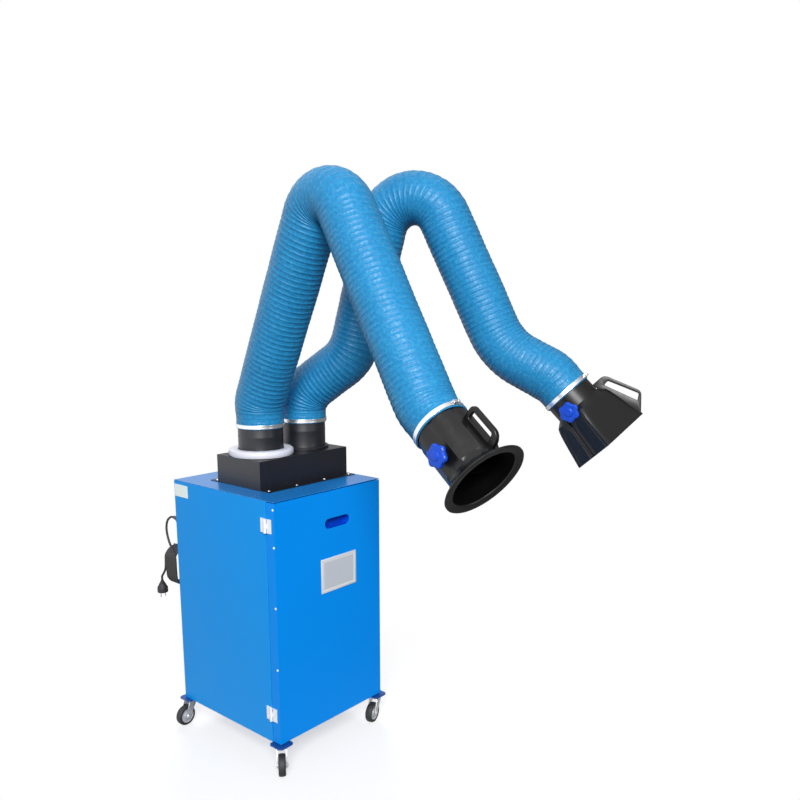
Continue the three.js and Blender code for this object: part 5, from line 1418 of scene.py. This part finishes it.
def corner_grip():
    """A leaning fin with a finger slot on the mouth's corner edge."""
    edge = math.hypot(MOUTH_WIDTH, MOUTH_DEPTH) / 2 - 0.006
    outer = [
        (PIPE - 0.002, LEAN_LOW), (lean_reach(LEAN_LOW), LEAN_LOW), (lean_reach(LEAN_TOP), LEAN_TOP),
        (edge + 0.001, LEAN_HIGH), (edge - 0.006, LEAN_HIGH), (PIPE + 0.014, 0.182),
    ]
    low, high = LEAN_LOW + GRIP_BAR * 1.7, LEAN_TOP + GRIP_BAR / 3
    low_reach, high_reach = lean_reach(low) - GRIP_BAR, lean_reach(high) - GRIP_BAR
    slot = [
        (low_reach - SLOT_WIDTH, low + 0.002), (high_reach - SLOT_WIDTH, high + GRIP_BAR * 0.75),
        (high_reach, high - 0.004), (low_reach, low),
    ]
    return fin(rounded(outer, [0, 0.016, 0.014, 0, 0, 0]), rounded(slot, [0.005] * 4))


print("ridge half width", RIDGE_HALF)

# %% Square hood
MOUTH_TURN = turned(28, "Z")
SQUARE_DAMPER = CUFF_END + 0.046
to_corner = Matrix.Rotation(math.atan2(MOUTH_DEPTH, MOUTH_WIDTH) - math.pi / 2, 4, "Z")
shell = moved(joined(square_skin(shell_rows()), *side_ridges()), MOUTH_TURN)
square_grip = moved(corner_grip(), MOUTH_TURN @ to_corner)
square_hood = moved(joined(shell, square_grip, *spindle_bosses(SQUARE_DAMPER)), hood_frame("right"))
put(square_hood, "square_hood", "right_hood", black_plastic, "black_plastic", ("right_hood",))
# A thin near-black skin inside the square hood: painted shade.
shade_lining = moved(square_skin(shade_lining_rows()), hood_frame("right") @ MOUTH_TURN)
put(shade_lining, "square_hood_shade_lining", "right_hood", hood_inside_painted_shade, "black_plastic")
print("square hood made")

# %% [markdown]
# ## Damper knobs
# A bright blue lobed knob turns each damper. Its round blank is spun, and then the rim's points move in
# between the lobes, which keeps the soft rim of the moulding all the way round.

# %% Damper knobs
KNOB_LOBES = 6
KNOB_RIM = 0.033
KNOB_CORE = 0.016
KNOB_STAND = 0.015
LOBE_DEPTH = 0.005
KNOB_PROFILE = [
    (0, 0.0172), (0.0095, 0.0172), (0.0112, 0.0165), (0.0122, 0.0146), (0.0135, 0.0138),
    (0.0255, 0.0138), (0.0298, 0.0128), (0.0323, 0.0105), (KNOB_RIM, 0.008), (KNOB_RIM, 0.005),
    (0.0323, 0.0022), (0.0302, 0.0002), (0.0152, 0), (0.0147, -0.0057), (0.0058, -0.0057),
    (0.0058, 0.006), (0, 0.006),
]


def knob():
    bm = spun(KNOB_PROFILE, 120)
    for vert in bm.verts:
        radius = math.hypot(vert.co.x, vert.co.y)
        if radius > KNOB_CORE:
            lobe = 0.5 - 0.5 * math.cos(KNOB_LOBES * math.atan2(vert.co.y, vert.co.x))
            outward = (radius - KNOB_CORE) / (KNOB_RIM - KNOB_CORE)
            shrink = 1 - LOBE_DEPTH * lobe * outward / radius
            vert.co.x *= shrink
            vert.co.y *= shrink
    return bm


for arm, height in (("left", ROUND_DAMPER), ("right", SQUARE_DAMPER)):
    seat = hood_frame(arm) @ turned_to(TO_LEFT, (-(PIPE + KNOB_STAND), 0, height))
    put(moved(knob(), seat), arm + "_knob", arm + "_damper", knob_blue, "knob_blue", (arm + "_damper_knob",))
print("knobs made")

# %% [markdown]
# ## What is inside and behind
# The skeleton inside the hoses, the filter, the blower and the rear fittings are seen little or not at
# all. They stay as measured, with their finishes and rounded edges.

# %% Inner pieces
# The wrist brackets and damper blades inside the hoods take the same painted shade.
ARM_NODES = {
    "shoulder_bracket": steel, "lower_link": steel, "forearm": steel, "wrist_bracket": hood_inside_painted_shade,
    "damper_blade": hood_inside_painted_shade,
}
INNER = {
    "filter_shelf": steel, "filter_cartridge": filter_paper, "blower_housing": zinc,
    "blower_motor": black_paint, "impeller": steel, "exhaust_grille": black_plastic, "cord_hook": zinc,
    "switch_housing": black_plastic, "rocker_switch": black_plastic,
}
for arm in ARMS:
    INNER.update({f"{arm}_{node}": finish for node, finish in ARM_NODES.items()})
for node, finish in INNER.items():
    dress(node, finish, SMALL_EDGE)
print("inner pieces", len(INNER))

# %% [markdown]
# ## Light and floor
# The photograph is a bright product shot on white. The world is white for the camera and softer for what
# lights the machine. Left faces mirror a bright wall, and faces to the front a dim room, which parts the
# blacks as they are parted in the photograph. A pale floor catches the shadow and fades out before it
# makes a horizon.

# %% World
BRIGHT_SIDE = Vector((-0.8, 0.35, 0.5)).normalized()
SKY = {"From Min": -0.4, "From Max": 0.7, "To Min": 0.03, "To Max": 0.27}
WALLS = {"From Min": -0.7, "From Max": 0.65, "To Min": 0.24, "To Max": 1.35}


def white_world():
    """White to the camera. Light comes mostly from above, and reflections see a bright wall on the left."""
    world = bpy.data.worlds.new("white_room")
    world.use_nodes = True
    tree = world.node_tree
    back = tree.nodes["Background"]
    set_inputs(back, {"Color": (1, 1, 1, 1)})
    path = add_node(tree, "ShaderNodeLightPath")
    seen = add_node(tree, "ShaderNodeMath", operation="MAXIMUM")
    seen_more = add_node(tree, "ShaderNodeMath", operation="MAXIMUM")
    place = add_node(tree, "ShaderNodeTexCoord")
    axes = add_node(tree, "ShaderNodeSeparateXYZ")
    sky = add_node(tree, "ShaderNodeMapRange", SKY, interpolation_type="SMOOTHSTEP")
    side = add_node(tree, "ShaderNodeVectorMath", {1: BRIGHT_SIDE}, operation="DOT_PRODUCT")
    wall = add_node(tree, "ShaderNodeMapRange", WALLS, interpolation_type="SMOOTHSTEP")
    mirrored = add_node(tree, "ShaderNodeMapRange", {"To Min": 1})
    strength = add_node(tree, "ShaderNodeMapRange")
    wire(
        tree,
        (path, "Is Camera Ray", seen, 0),
        (path, "Is Glossy Ray", seen, 1),
        (seen, 0, seen_more, 0),
        (path, "Is Transmission Ray", seen_more, 1),
        (place, "Generated", axes, 0),
        (axes, "Z", sky, "Value"),
        (place, "Generated", side, 0),
        (side, "Value", wall, "Value"),
        (path, "Is Glossy Ray", mirrored, "Value"),
        (wall, "Result", mirrored, "To Max"),
        (sky, "Result", strength, "To Min"),
        (mirrored, "Result", strength, "To Max"),
        (seen_more, 0, strength, "Value"),
        (strength, "Result", back, "Strength"),
    )
    bpy.context.scene.world = world


white_world()
print("world", bpy.context.scene.world.name)

# %% Floor
FLOOR_RADIUS = 2.4
FLOOR_COLOUR = (0.93, 0.93, 0.94, 1)
FLOOR_FADE = {"From Min": 0, "From Max": 1.15, "To Min": 0.45, "To Max": 0}


def floor_disc():
    """A pale disc that is clearer the further it is from the machine."""
    material, tree, shader = new_material("white_floor")
    set_inputs(shader, {"Base Color": FLOOR_COLOUR, "Roughness": 0.7})
    place = add_node(tree, "ShaderNodeTexCoord")
    away = add_node(tree, "ShaderNodeVectorMath", operation="LENGTH")
    fade = add_node(tree, "ShaderNodeMapRange", FLOOR_FADE, interpolation_type="SMOOTHSTEP")
    wire(
        tree,
        (place, "Object", away, 0),
        (away, "Value", fade, "Value"),
        (fade, "Result", shader, "Alpha"),
    )
    bm = bmesh.new()
    bmesh.ops.create_circle(bm, cap_ends=True, segments=96, radius=FLOOR_RADIUS)
    mesh_object(bm, "floor", material)


floor_disc()
print("floor radius", FLOOR_RADIUS)


# %% Lamps
def soft_lamp(name, place, target, size, watts):
    """A round soft lamp that looks at a target."""
    lamp = bpy.data.lights.new(name, "AREA")
    lamp.shape = "DISK"
    lamp.size = size
    lamp.energy = watts
    holder = new_object(name, lamp)
    holder.matrix_world = turned_to(Vector(place) - Vector(target), place)
    return holder


soft_lamp("key", place=(-3.6, -3.55, 3.8), target=(0, -0.3, 1.1), size=2.8, watts=430)
soft_lamp("front_fill", place=(0.6, -4.8, 2.0), target=(0, -0.3, 1.0), size=2.0, watts=25)
back_fill = soft_lamp("back_fill", place=(2.6, 3.2, 4.4), target=(0, 0, 1.0), size=2.4, watts=190)
back_fill.visible_glossy = False
bpy.context.scene.view_settings.view_transform = "Standard"
print("lamps", [lamp.name for lamp in bpy.data.lights])
